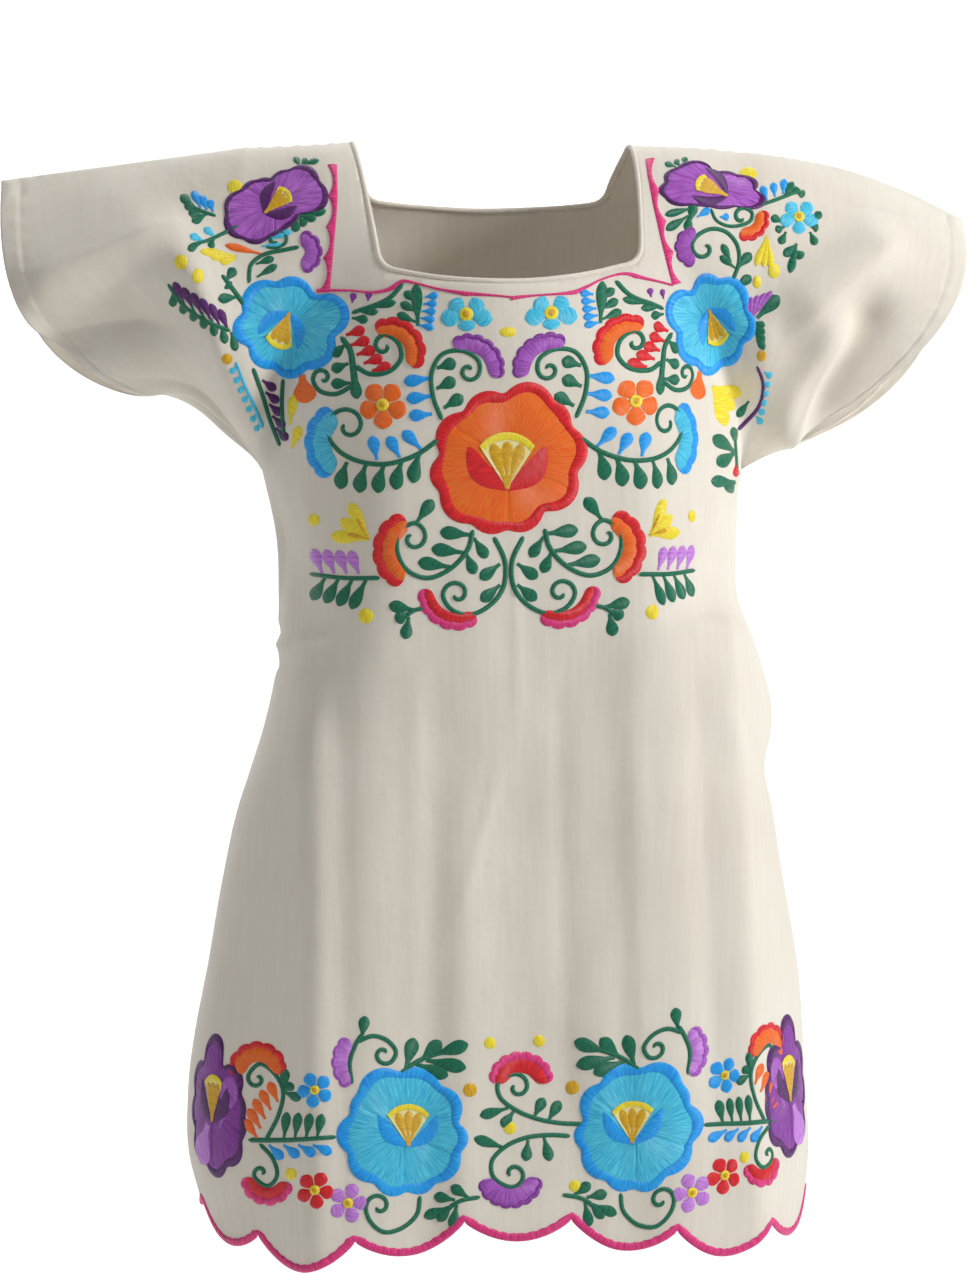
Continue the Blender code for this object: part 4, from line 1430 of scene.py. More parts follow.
@dataclass(frozen=True)
class Wedge:
    """The fan in a flower's middle: pale filling, yellow brim, stamens and a dark leaf on each side."""

    dx_px: float
    dy_px: float
    size: float
    turn: float = 0.0
    spread: float = 36.0
    filling: Thread = Thread.CREAM
    brim: Thread = Thread.YELLOW
    stamen: Thread = Thread.GOLD
    leaf: Thread = Thread.RED
    leaf_width: float = 0.26

    def stitch(self, bench: Bench, x_px: float, y_px: float, base: float) -> None:
        """Stitch the fan over a flower whose middle is given."""
        apex = np.array([x_px + self.dx_px, y_px + self.dy_px])

        def at(angle: np.ndarray, reach: np.ndarray) -> np.ndarray:
            """Places round the apex: angle from straight up, in degrees."""
            bearing = np.radians(self.turn) + np.radians(angle)
            return apex + np.stack([reach * np.sin(bearing), -reach * np.cos(bearing)], axis=-1)

        t = np.linspace(0.0, 1.0, 9)
        angles = np.linspace(-self.spread, self.spread, 15)
        grid_a, grid_t = np.meshgrid(angles, t, indexing="ij")
        edge = 1.0 - 0.10 * (grid_a / self.spread) ** 2
        for thread, inner, outer, lift in (
            (self.filling, 0.03, 0.92, 0.10),
            (self.brim, 0.89, 1.03, 0.30),
        ):
            reach = self.size * edge * (inner + (outer - inner) * grid_t)
            raised = base + lift + 0.25 * (1 - (2 * grid_t - 1) ** 4)
            coords = np.stack([grid_a / 57.3 * self.size, reach], axis=-1)
            bench.stitch(thread, at(grid_a, reach), raised, coords)
        for angle in (-0.55, 0.0, 0.55):
            bearing = math.radians(self.turn + angle * self.spread)
            tip = (math.sin(bearing) * self.size * 0.86, -math.cos(bearing) * self.size * 0.86)
            Drops(1, apex[0], apex[1], apex[0], apex[1], tip, tip, self.size * 0.17, thread=self.stamen,
                  lift=0.4, base=base + 0.35, fat_at=0.78).stitch(bench)
        for sign in (-1, 1):
            bearing = math.radians(self.turn + sign * (self.spread + 10.0))
            tip = (math.sin(bearing) * self.size * 1.04, -math.cos(bearing) * self.size * 1.04)
            Drops(1, apex[0], apex[1], apex[0], apex[1], tip, tip, self.size * self.leaf_width,
                  curve=0.14 * sign, thread=self.leaf, lift=0.5, base=base - 0.05, fat_at=0.52).stitch(bench)


@dataclass(frozen=True)
class Bloom:
    """A big flower: scalloped rim, a filling whose petals part in soft grooves, and a fan in its middle."""

    x_px: float
    y_px: float
    lobes: tuple[Lobe, ...]
    core: float
    rim: float
    rim_thread: Thread
    fill_thread: Thread
    wedge: Wedge | None = None
    wraps: bool = False
    flat: float = 1.0
    lift: float = 0.9
    partings: tuple[float, ...] = (270.0, 205.0, 148.0, 38.0, 335.0)
    petals: tuple = ()

    def reach(self, angles: np.ndarray, less: float) -> np.ndarray:
        """How far the outline lies at each angle, moved in by some pixels."""
        best = np.full_like(angles, self.core - less)
        for lobe in self.lobes:
            gap = angles - math.radians(lobe.turn)
            swell = max(lobe.swell - less, 1.0)
            under = swell**2 - (lobe.reach * np.sin(gap)) ** 2
            far = lobe.reach * np.cos(gap) + np.sqrt(np.maximum(under, 0.0))
            best = np.where((under > 0) & (np.cos(gap) > 0), np.maximum(best, far), best)
        return best

    def stitch(self, bench: Bench) -> None:
        """Stitch the filling, the rim and the fan."""
        bench.anchor = (self.x_px, self.y_px) if self.wraps else None
        angles = np.linspace(0.0, 2 * math.pi, 181)
        outline = self.reach(angles, 0.0)
        round_again = outline[:-1]
        for _ in range(3):
            round_again = (np.roll(round_again, 1) + 2 * round_again + np.roll(round_again, -1)) / 4
        outline = np.append(round_again, round_again[0])
        for _ in range(22):
            round_again = (np.roll(round_again, 1) + 2 * round_again + np.roll(round_again, -1)) / 4
        inner = np.append(round_again, round_again[0]) - self.rim
        inner = inner * (1 + 0.02 * np.sin(angles * 7 + self.x_px))
        groove = np.zeros_like(angles)
        for turn in self.partings:
            off = np.abs(np.mod(angles - math.radians(turn) + math.pi, 2 * math.pi) - math.pi)
            groove = np.maximum(groove, np.exp(-((off / 0.035) ** 2)))
        patches = (
            (self.fill_thread, np.linspace(0.02, 1.0, 9), np.zeros_like(inner), inner, 0.55, 0.0),
            (self.rim_thread, np.linspace(0.0, 1.0, 6), inner - 0.8, outline, self.lift, 1.0),
        )
        for thread, parts, low, high, lift, is_rim in patches:
            radius = low[:, None] + (high - low)[:, None] * parts
            x = radius * np.cos(angles)[:, None]
            y = -radius * np.sin(angles)[:, None] * self.flat
            if is_rim:
                raised = 0.12 + lift * (1 - (2 * parts - 1) ** 2) ** 0.6
                raised = np.broadcast_to(raised, x.shape)
            else:
                raised = 0.5 + lift * (1 - parts**6) - 0.60 * groove[:, None] * ease(parts / 0.25)
            u = angles[:, None] * self.core
            coords = np.stack(np.broadcast_arrays(u, radius), axis=-1)
            bench.stitch(thread, np.stack([self.x_px + x, self.y_px + y], axis=-1), raised, coords)
        if self.wedge is not None:
            self.wedge.stitch(bench, self.x_px, self.y_px, 1.1)
        for petal in self.petals:
            petal.stitch(bench)
        bench.anchor = None


@dataclass(frozen=True)
class Fan:
    """A half flower or crescent round a curl: a filled band of an arc with a scalloped rim."""

    x_px: float
    y_px: float
    inner: float
    outer: float
    start: float
    stop: float
    scallops: int
    rim: float
    rim_thread: Thread
    fill_thread: Thread
    stretch: float = 1.0
    bite: float = 2.2
    turn: float = 0.0

    def stitch(self, bench: Bench) -> None:
        """Stitch the filling and its rim, the strands along the rays."""
        t = np.linspace(0.0, 1.0, 8 * self.scallops + 1)
        angles = np.radians(self.start + (self.stop - self.start) * t)
        ends = np.clip(1 - np.abs(2 * t - 1) ** 7, 0.0, 1.0) ** 0.5
        wave = np.abs(np.sin(math.pi * t * self.scallops)) ** 0.65
        middle = (self.inner + self.outer) / 2
        outer = middle + (self.outer - self.bite + self.bite * wave - middle) * (0.25 + 0.75 * ends)
        inner = middle + (self.inner - middle) * (0.25 + 0.75 * ends)
        fill = inner + (outer - inner) * np.clip(1 - self.rim / (self.outer - self.inner), 0.0, 1.0)
        for thread, low, high, base, count in (
            (self.fill_thread, inner, fill, 0.25, 6),
            (self.rim_thread, fill - 0.6, outer, 0.12, 5),
        ):
            parts = np.linspace(0.0, 1.0, count)
            radius = low[:, None] + (high - low)[:, None] * parts
            x = radius * np.cos(angles)[:, None] * self.stretch
            y = -radius * np.sin(angles)[:, None]
            cosine, sine = math.cos(math.radians(self.turn)), math.sin(math.radians(self.turn))
            spots = np.stack([self.x_px + x * cosine + y * sine, self.y_px - x * sine + y * cosine], axis=-1)
            raised = base + 0.75 * (1 - (2 * parts - 1) ** 2) ** 0.6 * (0.5 + 0.5 * ends)[:, None]
            coords = np.stack(np.broadcast_arrays(angles[:, None] * self.outer, radius), axis=-1)
            bench.stitch(thread, spots, raised, coords)


@dataclass(frozen=True)
class Border:
    """A satin line whose one side is cut in half-moons, as round the neck."""

    x_px: tuple[float, ...]
    y_px: tuple[float, ...]
    width: float
    thick: float
    moons: float
    side: float = 1.0
    thread: Thread = Thread.PINK

    def stitch(self, bench: Bench) -> None:
        """Stitch the line with its half-moons."""
        line = smooth_path(self.x_px, self.y_px, 1.3)
        along = unit(np.gradient(line, axis=0))
        aside = np.stack([-along[:, 1], along[:, 0]], axis=-1) * self.side
        run = np.concatenate([[0.0], np.cumsum(np.linalg.norm(np.diff(line, axis=0), axis=-1))])
        wave = np.abs(np.sin(math.pi * run / run[-1] * self.moons)) if self.moons else np.ones_like(run)
        width = self.width + self.thick * (1 - wave**0.8)
        shape = np.linspace(0.0, 1.0, 6)
        spots = line[:, None] + aside[:, None] * (width[:, None] * shape)[..., None]
        lift = np.broadcast_to(0.12 + 0.8 * (1 - (2 * shape - 1) ** 2) ** 0.6, spots.shape[:2])
        coords = np.stack(np.broadcast_arrays(run[:, None], width[:, None] * shape), axis=-1)
        bench.stitch(self.thread, spots, lift, coords)


# The flower in the middle of the yoke
HEART_BLOOM = Bloom(
    x_px=508.0,
    y_px=461.0,
    lobes=(
        Lobe(turn=10.7, reach=56.0, swell=25.0),
        Lobe(turn=43.0, reach=58.0, swell=21.0),
        Lobe(turn=69.0, reach=56.0, swell=27.0),
        Lobe(turn=112.5, reach=48.0, swell=26.0),
        Lobe(turn=153.9, reach=52.0, swell=26.0),
        Lobe(turn=192.3, reach=60.0, swell=20.0),
        Lobe(turn=221.0, reach=56.0, swell=26.0),
        Lobe(turn=252.0, reach=52.0, swell=24.0),
        Lobe(turn=284.0, reach=49.0, swell=24.0),
        Lobe(turn=332.0, reach=50.0, swell=27.0),
    ),
    core=60.0,
    rim=11.0,
    rim_thread=Thread.RED,
    fill_thread=Thread.ORANGE,
    wedge=Wedge(dx_px=-1.0, dy_px=28.0, size=55.0, spread=33.0, leaf=Thread.RED, leaf_width=0.30),
)

# The left half of the yoke, met again on the right
YOKE_HALF = (
    Bloom(
        x_px=289.0,
        y_px=325.0,
        lobes=(
            Lobe(turn=14.0, reach=40.0, swell=22.0),
            Lobe(turn=84.0, reach=27.0, swell=22.0),
            Lobe(turn=138.0, reach=32.0, swell=24.0),
            Lobe(turn=186.0, reach=40.0, swell=17.0),
            Lobe(turn=230.0, reach=32.0, swell=20.0),
            Lobe(turn=272.0, reach=35.0, swell=19.0),
            Lobe(turn=318.0, reach=31.0, swell=24.0),
        ),
        core=41.0,
        rim=9.0,
        rim_thread=Thread.BLUE,
        fill_thread=Thread.CYAN,
        wedge=Wedge(dx_px=0.0, dy_px=-13.0, size=37.0, turn=200.0, spread=25.0, leaf=Thread.BLUE),
    ),
    Fan(390.0, 353.0, inner=15.0, outer=36.5, start=-32.0, stop=122.0, scallops=6, rim=8.0,
        rim_thread=Thread.RED, fill_thread=Thread.ORANGE),
    Fan(468.0, 371.0, inner=19.0, outer=38.0, start=-14.0, stop=120.0, scallops=7, rim=5.0,
        rim_thread=Thread.PURPLE, fill_thread=Thread.MAUVE),
    Fan(416.0, 551.0, inner=19.0, outer=44.0, start=108.0, stop=247.0, scallops=6, rim=10.0,
        rim_thread=Thread.RED, fill_thread=Thread.ORANGE),
    Fan(457.0, 590.0, inner=23.0, outer=41.0, start=178.0, stop=306.0, scallops=6, rim=8.0,
        rim_thread=Thread.PINK, fill_thread=Thread.RED),
    Fan(353.0, 443.0, inner=22.0, outer=49.0, start=122.0, stop=236.0, scallops=5, rim=9.0,
        rim_thread=Thread.BLUE, fill_thread=Thread.CYAN),
    Daisy(383.0, 405.0, radius=24.0, turn=-90.0, petal_width=0.60),
    Daisy(466.5, 314.5, radius=27.0, turn=-90.0, petal_width=0.50, thread=Thread.CYAN, flat=0.62),
    Disc(227.0, 359.0, 5.5, thread=Thread.GOLD),
    Disc(314.0, 520.0, 6.0),
    Disc(366.0, 616.0, 7.5),
    # Arch with three leaves, and the drops beside it
    Stem(x_px=(442, 433, 432, 443, 463, 478, 480), y_px=(420, 396, 372, 354, 351, 360, 370), width=4.0,
         curl=Curl(469.0, 371.0, turns=0.95, clockwise=True)),
    Drops(3, 437, 368, 444, 408, first_tip=(19, -6), last_tip=(19, -12), width=10.0, bow=-4.0),
    Drops(3, 431, 378, 432, 414, first_tip=(-27, 4), last_tip=(-23, 2), width=9.5, thread=Thread.BLUE),
    Drops(3, 377, 460, 421, 449, first_tip=(-5, -24), last_tip=(-18, -18), width=9.5, bow=-3.0,
          thread=Thread.BLUE),
    # The long stem from the middle flower, with its hanging leaves
    Stem(x_px=(438, 416, 386, 358, 338, 327, 334), y_px=(440, 455, 464, 461, 450, 432, 414), width=4.2,
         curl=Curl(348.0, 426.0, turns=0.95, clockwise=True)),
    Drops(5, 347, 462, 420, 453, first_tip=(-7, 27), last_tip=(-7, 30), width=11.0, bow=-7.0, curve=0.05),
    # Stem above it with the red drops
    Stem(x_px=(341, 350, 353, 355), y_px=(337, 350, 368, 384), width=4.5, end_width=6.0),
    Stem(x_px=(355, 370, 390, 401, 398, 386), y_px=(366, 374, 371, 358, 343, 335), width=4.2,
         curl=Curl(384.0, 346.0, turns=0.85, clockwise=False)),
    Drops(5, 346, 335, 372, 371, first_tip=(19, -6), last_tip=(19, -6), width=8.5, bow=-3.0, thread=Thread.RED),
    Drops(1, 354, 372, 354, 372, first_tip=(3, 27), last_tip=(3, 27), width=9.0),
    Stem(x_px=(352, 336, 320, 313, 316), y_px=(386, 394, 391, 380, 372), width=4.0,
         curl=Curl(322.5, 378.0, turns=0.7, clockwise=True)),
    Drops(3, 346, 344, 351, 383, first_tip=(-14, 12), last_tip=(-20, 1), width=8.5),
    Drops(1, 302, 375, 302, 375, first_tip=(4, 28), last_tip=(4, 28), width=18.0, thread=Thread.ORANGE),
    # Leaves under the neck
    Stem(x_px=(403, 388, 352), y_px=(284, 299, 313), width=4.0),
    Drops(2, 356, 311, 372, 308, first_tip=(22, 1), last_tip=(24, -6), width=6.0),
    Drops(1, 352, 318, 352, 318, first_tip=(16, 2), last_tip=(16, 2), width=7.0),
    Drops(1, 418, 326, 418, 326, first_tip=(-2, -42), last_tip=(-2, -42), width=9.0),
    Drops(3, 419, 302, 416, 322, first_tip=(-15, -10), last_tip=(-19, -8), width=7.0),
    Drops(5, 425, 297, 419, 325, first_tip=(13, -2), last_tip=(15, 3), width=6.0, thread=Thread.BLUE),
    Drops(2, 352, 303, 368, 301, first_tip=(2, -10), last_tip=(1, -9), width=5.5, thread=Thread.PURPLE),
    # Two stems under the middle flower
    Stem(x_px=(473, 468, 450, 427, 406, 397, 401, 415), y_px=(530, 549, 569, 578, 569, 549, 531, 523),
         width=4.2, curl=Curl(413.0, 538.0, turns=0.9, clockwise=True)),
    Drops(1, 417, 522, 417, 522, first_tip=(16, -22), last_tip=(16, -22), width=10.0),
    Drops(3, 471, 535, 450, 567, first_tip=(-31, -3), last_tip=(-32, -5), width=10.5, bow=3.0),
    Drops(2, 474, 538, 466, 553, first_tip=(13, 20), last_tip=(9, 21), width=9.0),
    Stem(x_px=(494, 505, 503, 489, 468, 450, 443), y_px=(537, 562, 588, 606, 615, 608, 595), width=4.2,
         curl=Curl(457.0, 594.0, turns=0.95, clockwise=True)),
    Drops(2, 500, 564, 500, 585, first_tip=(-20, 15), last_tip=(-19, 16), width=9.5),
    # Leaf sprig and yellow drops by the side
    Stem(x_px=(424, 413, 404), y_px=(608, 611, 618), width=3.6),
    Drops(3, 414, 610, 409, 617, first_tip=(-25, -5), last_tip=(-4, 22), width=9.5, bow=-2.0),
    Drops(3, 369, 539, 369, 539, first_tip=(-19, -36), last_tip=(-38, -3), width=10.0, thread=Thread.YELLOW),
    Drops(2, 369, 539, 369, 539, first_tip=(-12, -22), last_tip=(-22, -5), width=4.0, thread=Thread.GOLD,
          lift=1.4),
    Stem(x_px=(380, 345, 310), y_px=(578, 578, 574), width=3.8),
    Drops(4, 359, 574, 322, 573, first_tip=(-9, -23), last_tip=(-9, -24), width=9.0, thread=Thread.LILAC),
    Drops(4, 366, 580, 325, 578, first_tip=(-15, 29), last_tip=(-13, 22), width=9.5),
)

NECK_BORDER = (
    Border(x_px=(337.0, 337.5, 334.0, 330.0), y_px=(165.0, 200.0, 245.0, 290.0), width=4.5, thick=5.5, moons=4.0,
           side=1.0),
    Border(x_px=(317.0, 352.0, 372.0, 388.0, 402.0, 418.0, 440.0, 511.0),
           y_px=(288.5, 289.5, 291.0, 287.5, 279.5, 282.5, 288.0, 296.0), width=2.2, thick=2.6, moons=2.6, side=1.0),
    Border(x_px=(511.0, 572.0, 588.0, 602.0, 626.0, 648.0, 673.0),
           y_px=(296.0, 290.5, 284.5, 278.0, 272.0, 277.5, 284.0), width=2.2, thick=2.6, moons=2.6, side=1.0),
    Border(x_px=(645.0, 652.0, 662.0, 672.0), y_px=(160.0, 200.0, 245.0, 285.0), width=4.5, thick=5.5, moons=4.0,
           side=-1.0),
)

# The shoulders, which differ: the one on the viewer's left, then the other
LEFT_SHOULDER = (
    Bloom(
        x_px=275.0,
        y_px=206.0,
        lobes=(
            Lobe(turn=14.0, reach=38.0, swell=17.0),
            Lobe(turn=42.0, reach=37.0, swell=17.0),
            Lobe(turn=64.0, reach=24.0, swell=15.0),
            Lobe(turn=128.0, reach=15.0, swell=17.0),
            Lobe(turn=152.0, reach=22.0, swell=16.0),
            Lobe(turn=182.0, reach=34.0, swell=17.0),
            Lobe(turn=205.0, reach=38.0, swell=17.0),
            Lobe(turn=228.0, reach=29.0, swell=17.0),
            Lobe(turn=254.0, reach=17.0, swell=15.0),
            Lobe(turn=290.0, reach=9.0, swell=17.0),
            Lobe(turn=330.0, reach=10.0, swell=17.0),
        ),
        core=23.0,
        rim=5.0,
        rim_thread=Thread.PLUM,
        fill_thread=Thread.MAUVE,
        wedge=Wedge(dx_px=-10.0, dy_px=8.0, size=32.0, turn=48.0, spread=20.0, leaf=Thread.PLUM),
    ),
    Fan(299.0, 252.0, inner=6.0, outer=24.0, start=-80.0, stop=84.0, scallops=5, rim=4.0,
        rim_thread=Thread.PURPLE, fill_thread=Thread.MAUVE),
    Disc(235.0, 187.0, 7.5),
    Stem(x_px=(249, 251, 263, 284, 299), y_px=(283, 265, 255, 250, 247), width=3.4),
    Drops(2, 256, 264, 257, 277, first_tip=(18, -6), last_tip=(20, -12), width=6.0),
    Stem(x_px=(248, 232, 222), y_px=(310, 288, 275), width=4.4),
    Drops(3, 226, 281, 238, 297, first_tip=(9, -13), last_tip=(-20, 2), width=8.0),
    Drops(4, 301, 214, 297, 218, first_tip=(25, -3), last_tip=(-2, 14), width=7.0, bow=1.0),
    Drops(1, 262, 254, 262, 254, first_tip=(-37, -9), last_tip=(-37, -9), width=6.0, thread=Thread.ORANGE),
    Drops(2, 262, 246, 268, 240, first_tip=(20, -1), last_tip=(24, -9), width=5.5, thread=Thread.CYAN),
    Drops(3, 300, 166, 303, 164, first_tip=(-5, -9), last_tip=(16, -4), width=5.0),
    Stem(x_px=(216, 204, 192), y_px=(216, 212, 207), width=2.8),
    Drops(3, 201, 208, 213, 212, first_tip=(-8, -17), last_tip=(-4, -12), width=6.5, thread=Thread.BLUE),
    Drops(4, 194, 208, 207, 214, first_tip=(-13, -13), last_tip=(-15, 8), width=7.5),
    Stem(x_px=(190, 206, 222, 238), y_px=(245, 241, 234, 226), width=2.8),
    Drops(2, 204, 241, 216, 237, first_tip=(-14, -6), last_tip=(-12, -9), width=6.0, thread=Thread.CYAN),
    Drops(2, 200, 244, 214, 239, first_tip=(-12, 6), last_tip=(-4, 9), width=6.0),
    Stem(x_px=(266, 278, 286, 285, 276), y_px=(247, 247, 242, 234, 232), width=2.6,
         curl=Curl(276.0, 240.0, turns=0.6, clockwise=False)),
    Drops(3, 236, 259, 236, 256, first_tip=(-16, 3), last_tip=(-36, -5), width=6.5, thread=Thread.YELLOW),
    Disc(181.0, 262.0, 7.5, stretch=0.9),
    Disc(198.0, 276.0, 7.5, stretch=0.8),
    Stem(x_px=(168, 181, 204, 230), y_px=(284, 303, 320, 331), width=2.8),
    Drops(6, 184, 303, 228, 330, first_tip=(-10, -21), last_tip=(-9, -21), width=6.5, thread=Thread.PLUM),
    Drops(7, 173, 292, 231, 332, first_tip=(0, 15), last_tip=(5, 19), width=6.5),
    Stem(x_px=(236, 245, 256, 263), y_px=(362, 386, 410, 428), width=2.0, thread=Thread.CYAN),
    Drops(7, 238, 366, 260, 424, first_tip=(-8, 7), last_tip=(-5, 7), width=5.0, thread=Thread.CYAN),
    # Stalks that run down the side under the arm
    Stem(x_px=(253, 262, 270, 280), y_px=(368, 394, 420, 446), width=3.6),
    Stem(x_px=(283, 282, 284), y_px=(379, 405, 440), width=3.4),
    Drops(5, 262, 380, 276, 428, first_tip=(14, 10), last_tip=(12, 12), width=7.0, thread=Thread.PLUM),
    Drops(2, 290, 425, 292, 448, first_tip=(4, -30), last_tip=(8, -22), width=8.0, thread=Thread.YELLOW),
)

RIGHT_SHOULDER = (
    Bloom(
        x_px=712.0,
        y_px=188.0,
        lobes=(
            Lobe(turn=186.0, reach=36.0, swell=18.0),
            Lobe(turn=148.0, reach=36.0, swell=18.0),
            Lobe(turn=120.0, reach=36.0, swell=18.0),
            Lobe(turn=50.0, reach=18.0, swell=17.0),
            Lobe(turn=12.0, reach=30.0, swell=17.0),
            Lobe(turn=330.0, reach=44.0, swell=17.0),
            Lobe(turn=298.0, reach=22.0, swell=19.0),
            Lobe(turn=262.0, reach=18.0, swell=17.0),
            Lobe(turn=228.0, reach=22.0, swell=17.0),
            Lobe(turn=208.0, reach=34.0, swell=17.0),
        ),
        core=26.0,
        rim=6.0,
        rim_thread=Thread.PLUM,
        fill_thread=Thread.MAUVE,
        flat=0.56,
        wedge=Wedge(dx_px=15.0, dy_px=9.0, size=34.0, turn=-64.0, spread=16.0, leaf=Thread.PLUM, leaf_width=0.20),
    ),
    Disc(748.0, 174.0, 7.0, stretch=1.3),
    Drops(3, 676, 167, 684, 165, first_tip=(-11, -4), last_tip=(1, -8), width=5.0),
    Drops(1, 693, 208, 693, 208, first_tip=(-28, 7), last_tip=(-28, 7), width=6.0),
    Drops(1, 690, 222, 690, 222, first_tip=(4, -18), last_tip=(4, -18), width=8.0),
    Drops(2, 688, 216, 690, 214, first_tip=(-22, 14), last_tip=(-3, 17), width=7.0),
    Drops(2, 697, 217, 720, 217, first_tip=(13, -8), last_tip=(9, 0), width=6.0, thread=Thread.BLUE),
    Stem(x_px=(711, 716, 728, 742, 751, 752), y_px=(209, 220, 226, 225, 220, 213), width=2.6,
         curl=Curl(742.0, 217.0, turns=0.8, clockwise=False)),
    Fan(697.0, 247.0, inner=6.0, outer=23.0, start=95.0, stop=262.0, scallops=5, rim=4.0,
        rim_thread=Thread.PURPLE, fill_thread=Thread.MAUVE),
    Stem(x_px=(733, 739, 737, 726, 711, 697), y_px=(280, 262, 245, 232, 229, 236), width=3.4,
         curl=Curl(704.0, 248.0, turns=0.85, clockwise=False)),
    Drops(2, 731, 262, 735, 268, first_tip=(-9, -18), last_tip=(-15, -12), width=6.0),
    Drops(2, 738, 268, 736, 288, first_tip=(13, -15), last_tip=(15, -12), width=8.0),
    Stem(x_px=(761, 778, 800), y_px=(205, 199, 190), width=2.8),
    Drops(3, 767, 200, 783, 194, first_tip=(-5, -14), last_tip=(1, -15), width=6.0, thread=Thread.BLUE),
    Drops(3, 784, 197, 796, 192, first_tip=(9, -15), last_tip=(9, 3), width=6.5),
    Disc(774.0, 271.0, 7.5, stretch=0.8),
    Disc(757.0, 282.0, 6.5, stretch=0.65),
    Daisy(799.0, 217.0, radius=20.0, turn=-90.0, petal_width=0.52, thread=Thread.CYAN, flat=0.85),
    Drops(3, 783, 222, 786, 232, first_tip=(-12, -5), last_tip=(-6, 12), width=6.5),
    Drops(3, 812, 222, 810, 232, first_tip=(9, -10), last_tip=(6, 13), width=6.5),
    Drops(3, 797, 244, 795, 250, first_tip=(-13, 12), last_tip=(8, 8), width=7.5),
    Drops(1, 796, 246, 796, 246, first_tip=(-6, 27), last_tip=(-6, 27), width=6.5),
    Fan(746.0, 218.0, inner=9.0, outer=24.0, start=-112.0, stop=24.0, scallops=5, rim=5.0,
        rim_thread=Thread.RED, fill_thread=Thread.ORANGE),
    Drops(3, 767, 236, 768, 240, first_tip=(-11, 30), last_tip=(3, 28), width=6.5, thread=Thread.YELLOW),
    Drops(5, 751, 319, 751, 319, first_tip=(-7, -20), last_tip=(21, -28), width=5.5, thread=Thread.MAUVE),
    Drops(1, 757, 318, 757, 318, first_tip=(22, -22), last_tip=(22, -22), width=11.0),
    Drops(4, 752, 322, 755, 330, first_tip=(13, 4), last_tip=(9, 20), width=6.0),
    # Stalks, drops and leaves under the right arm
    Stem(x_px=(757, 763, 759, 738), y_px=(366, 384, 406, 430), width=2.6, thread=Thread.PLUM),
    Drops(6, 764, 372, 756, 416, first_tip=(8, 5), last_tip=(6, 8), width=5.5, thread=Thread.CYAN),
    Drops(3, 713, 387, 713, 387, first_tip=(28, 7), last_tip=(13, 39), width=10.5, thread=Thread.YELLOW),
    Drops(1, 749, 401, 749, 401, first_tip=(-12, 16), last_tip=(-12, 16), width=6.5),
    Stem(x_px=(735, 736, 737), y_px=(440, 454, 470), width=2.2, end_width=2.2),
    Drops(1, 736, 446, 736, 446, first_tip=(-3, -19), last_tip=(-3, -19), width=6.0),
    Drops(2, 736, 453, 736, 452, first_tip=(-23, -17), last_tip=(-19, 13), width=10.5),
    Drops(1, 736, 463, 736, 463, first_tip=(0, 14), last_tip=(0, 14), width=5.0, thread=Thread.RED),
    Drops(2, 735, 482, 735, 482, first_tip=(-24, -1), last_tip=(-9, 9), width=9.5),
)

YOKE_MIDDLE = (
    HEART_BLOOM,
    Disc(508.0, 332.0, 5.0, stretch=1.7),
)

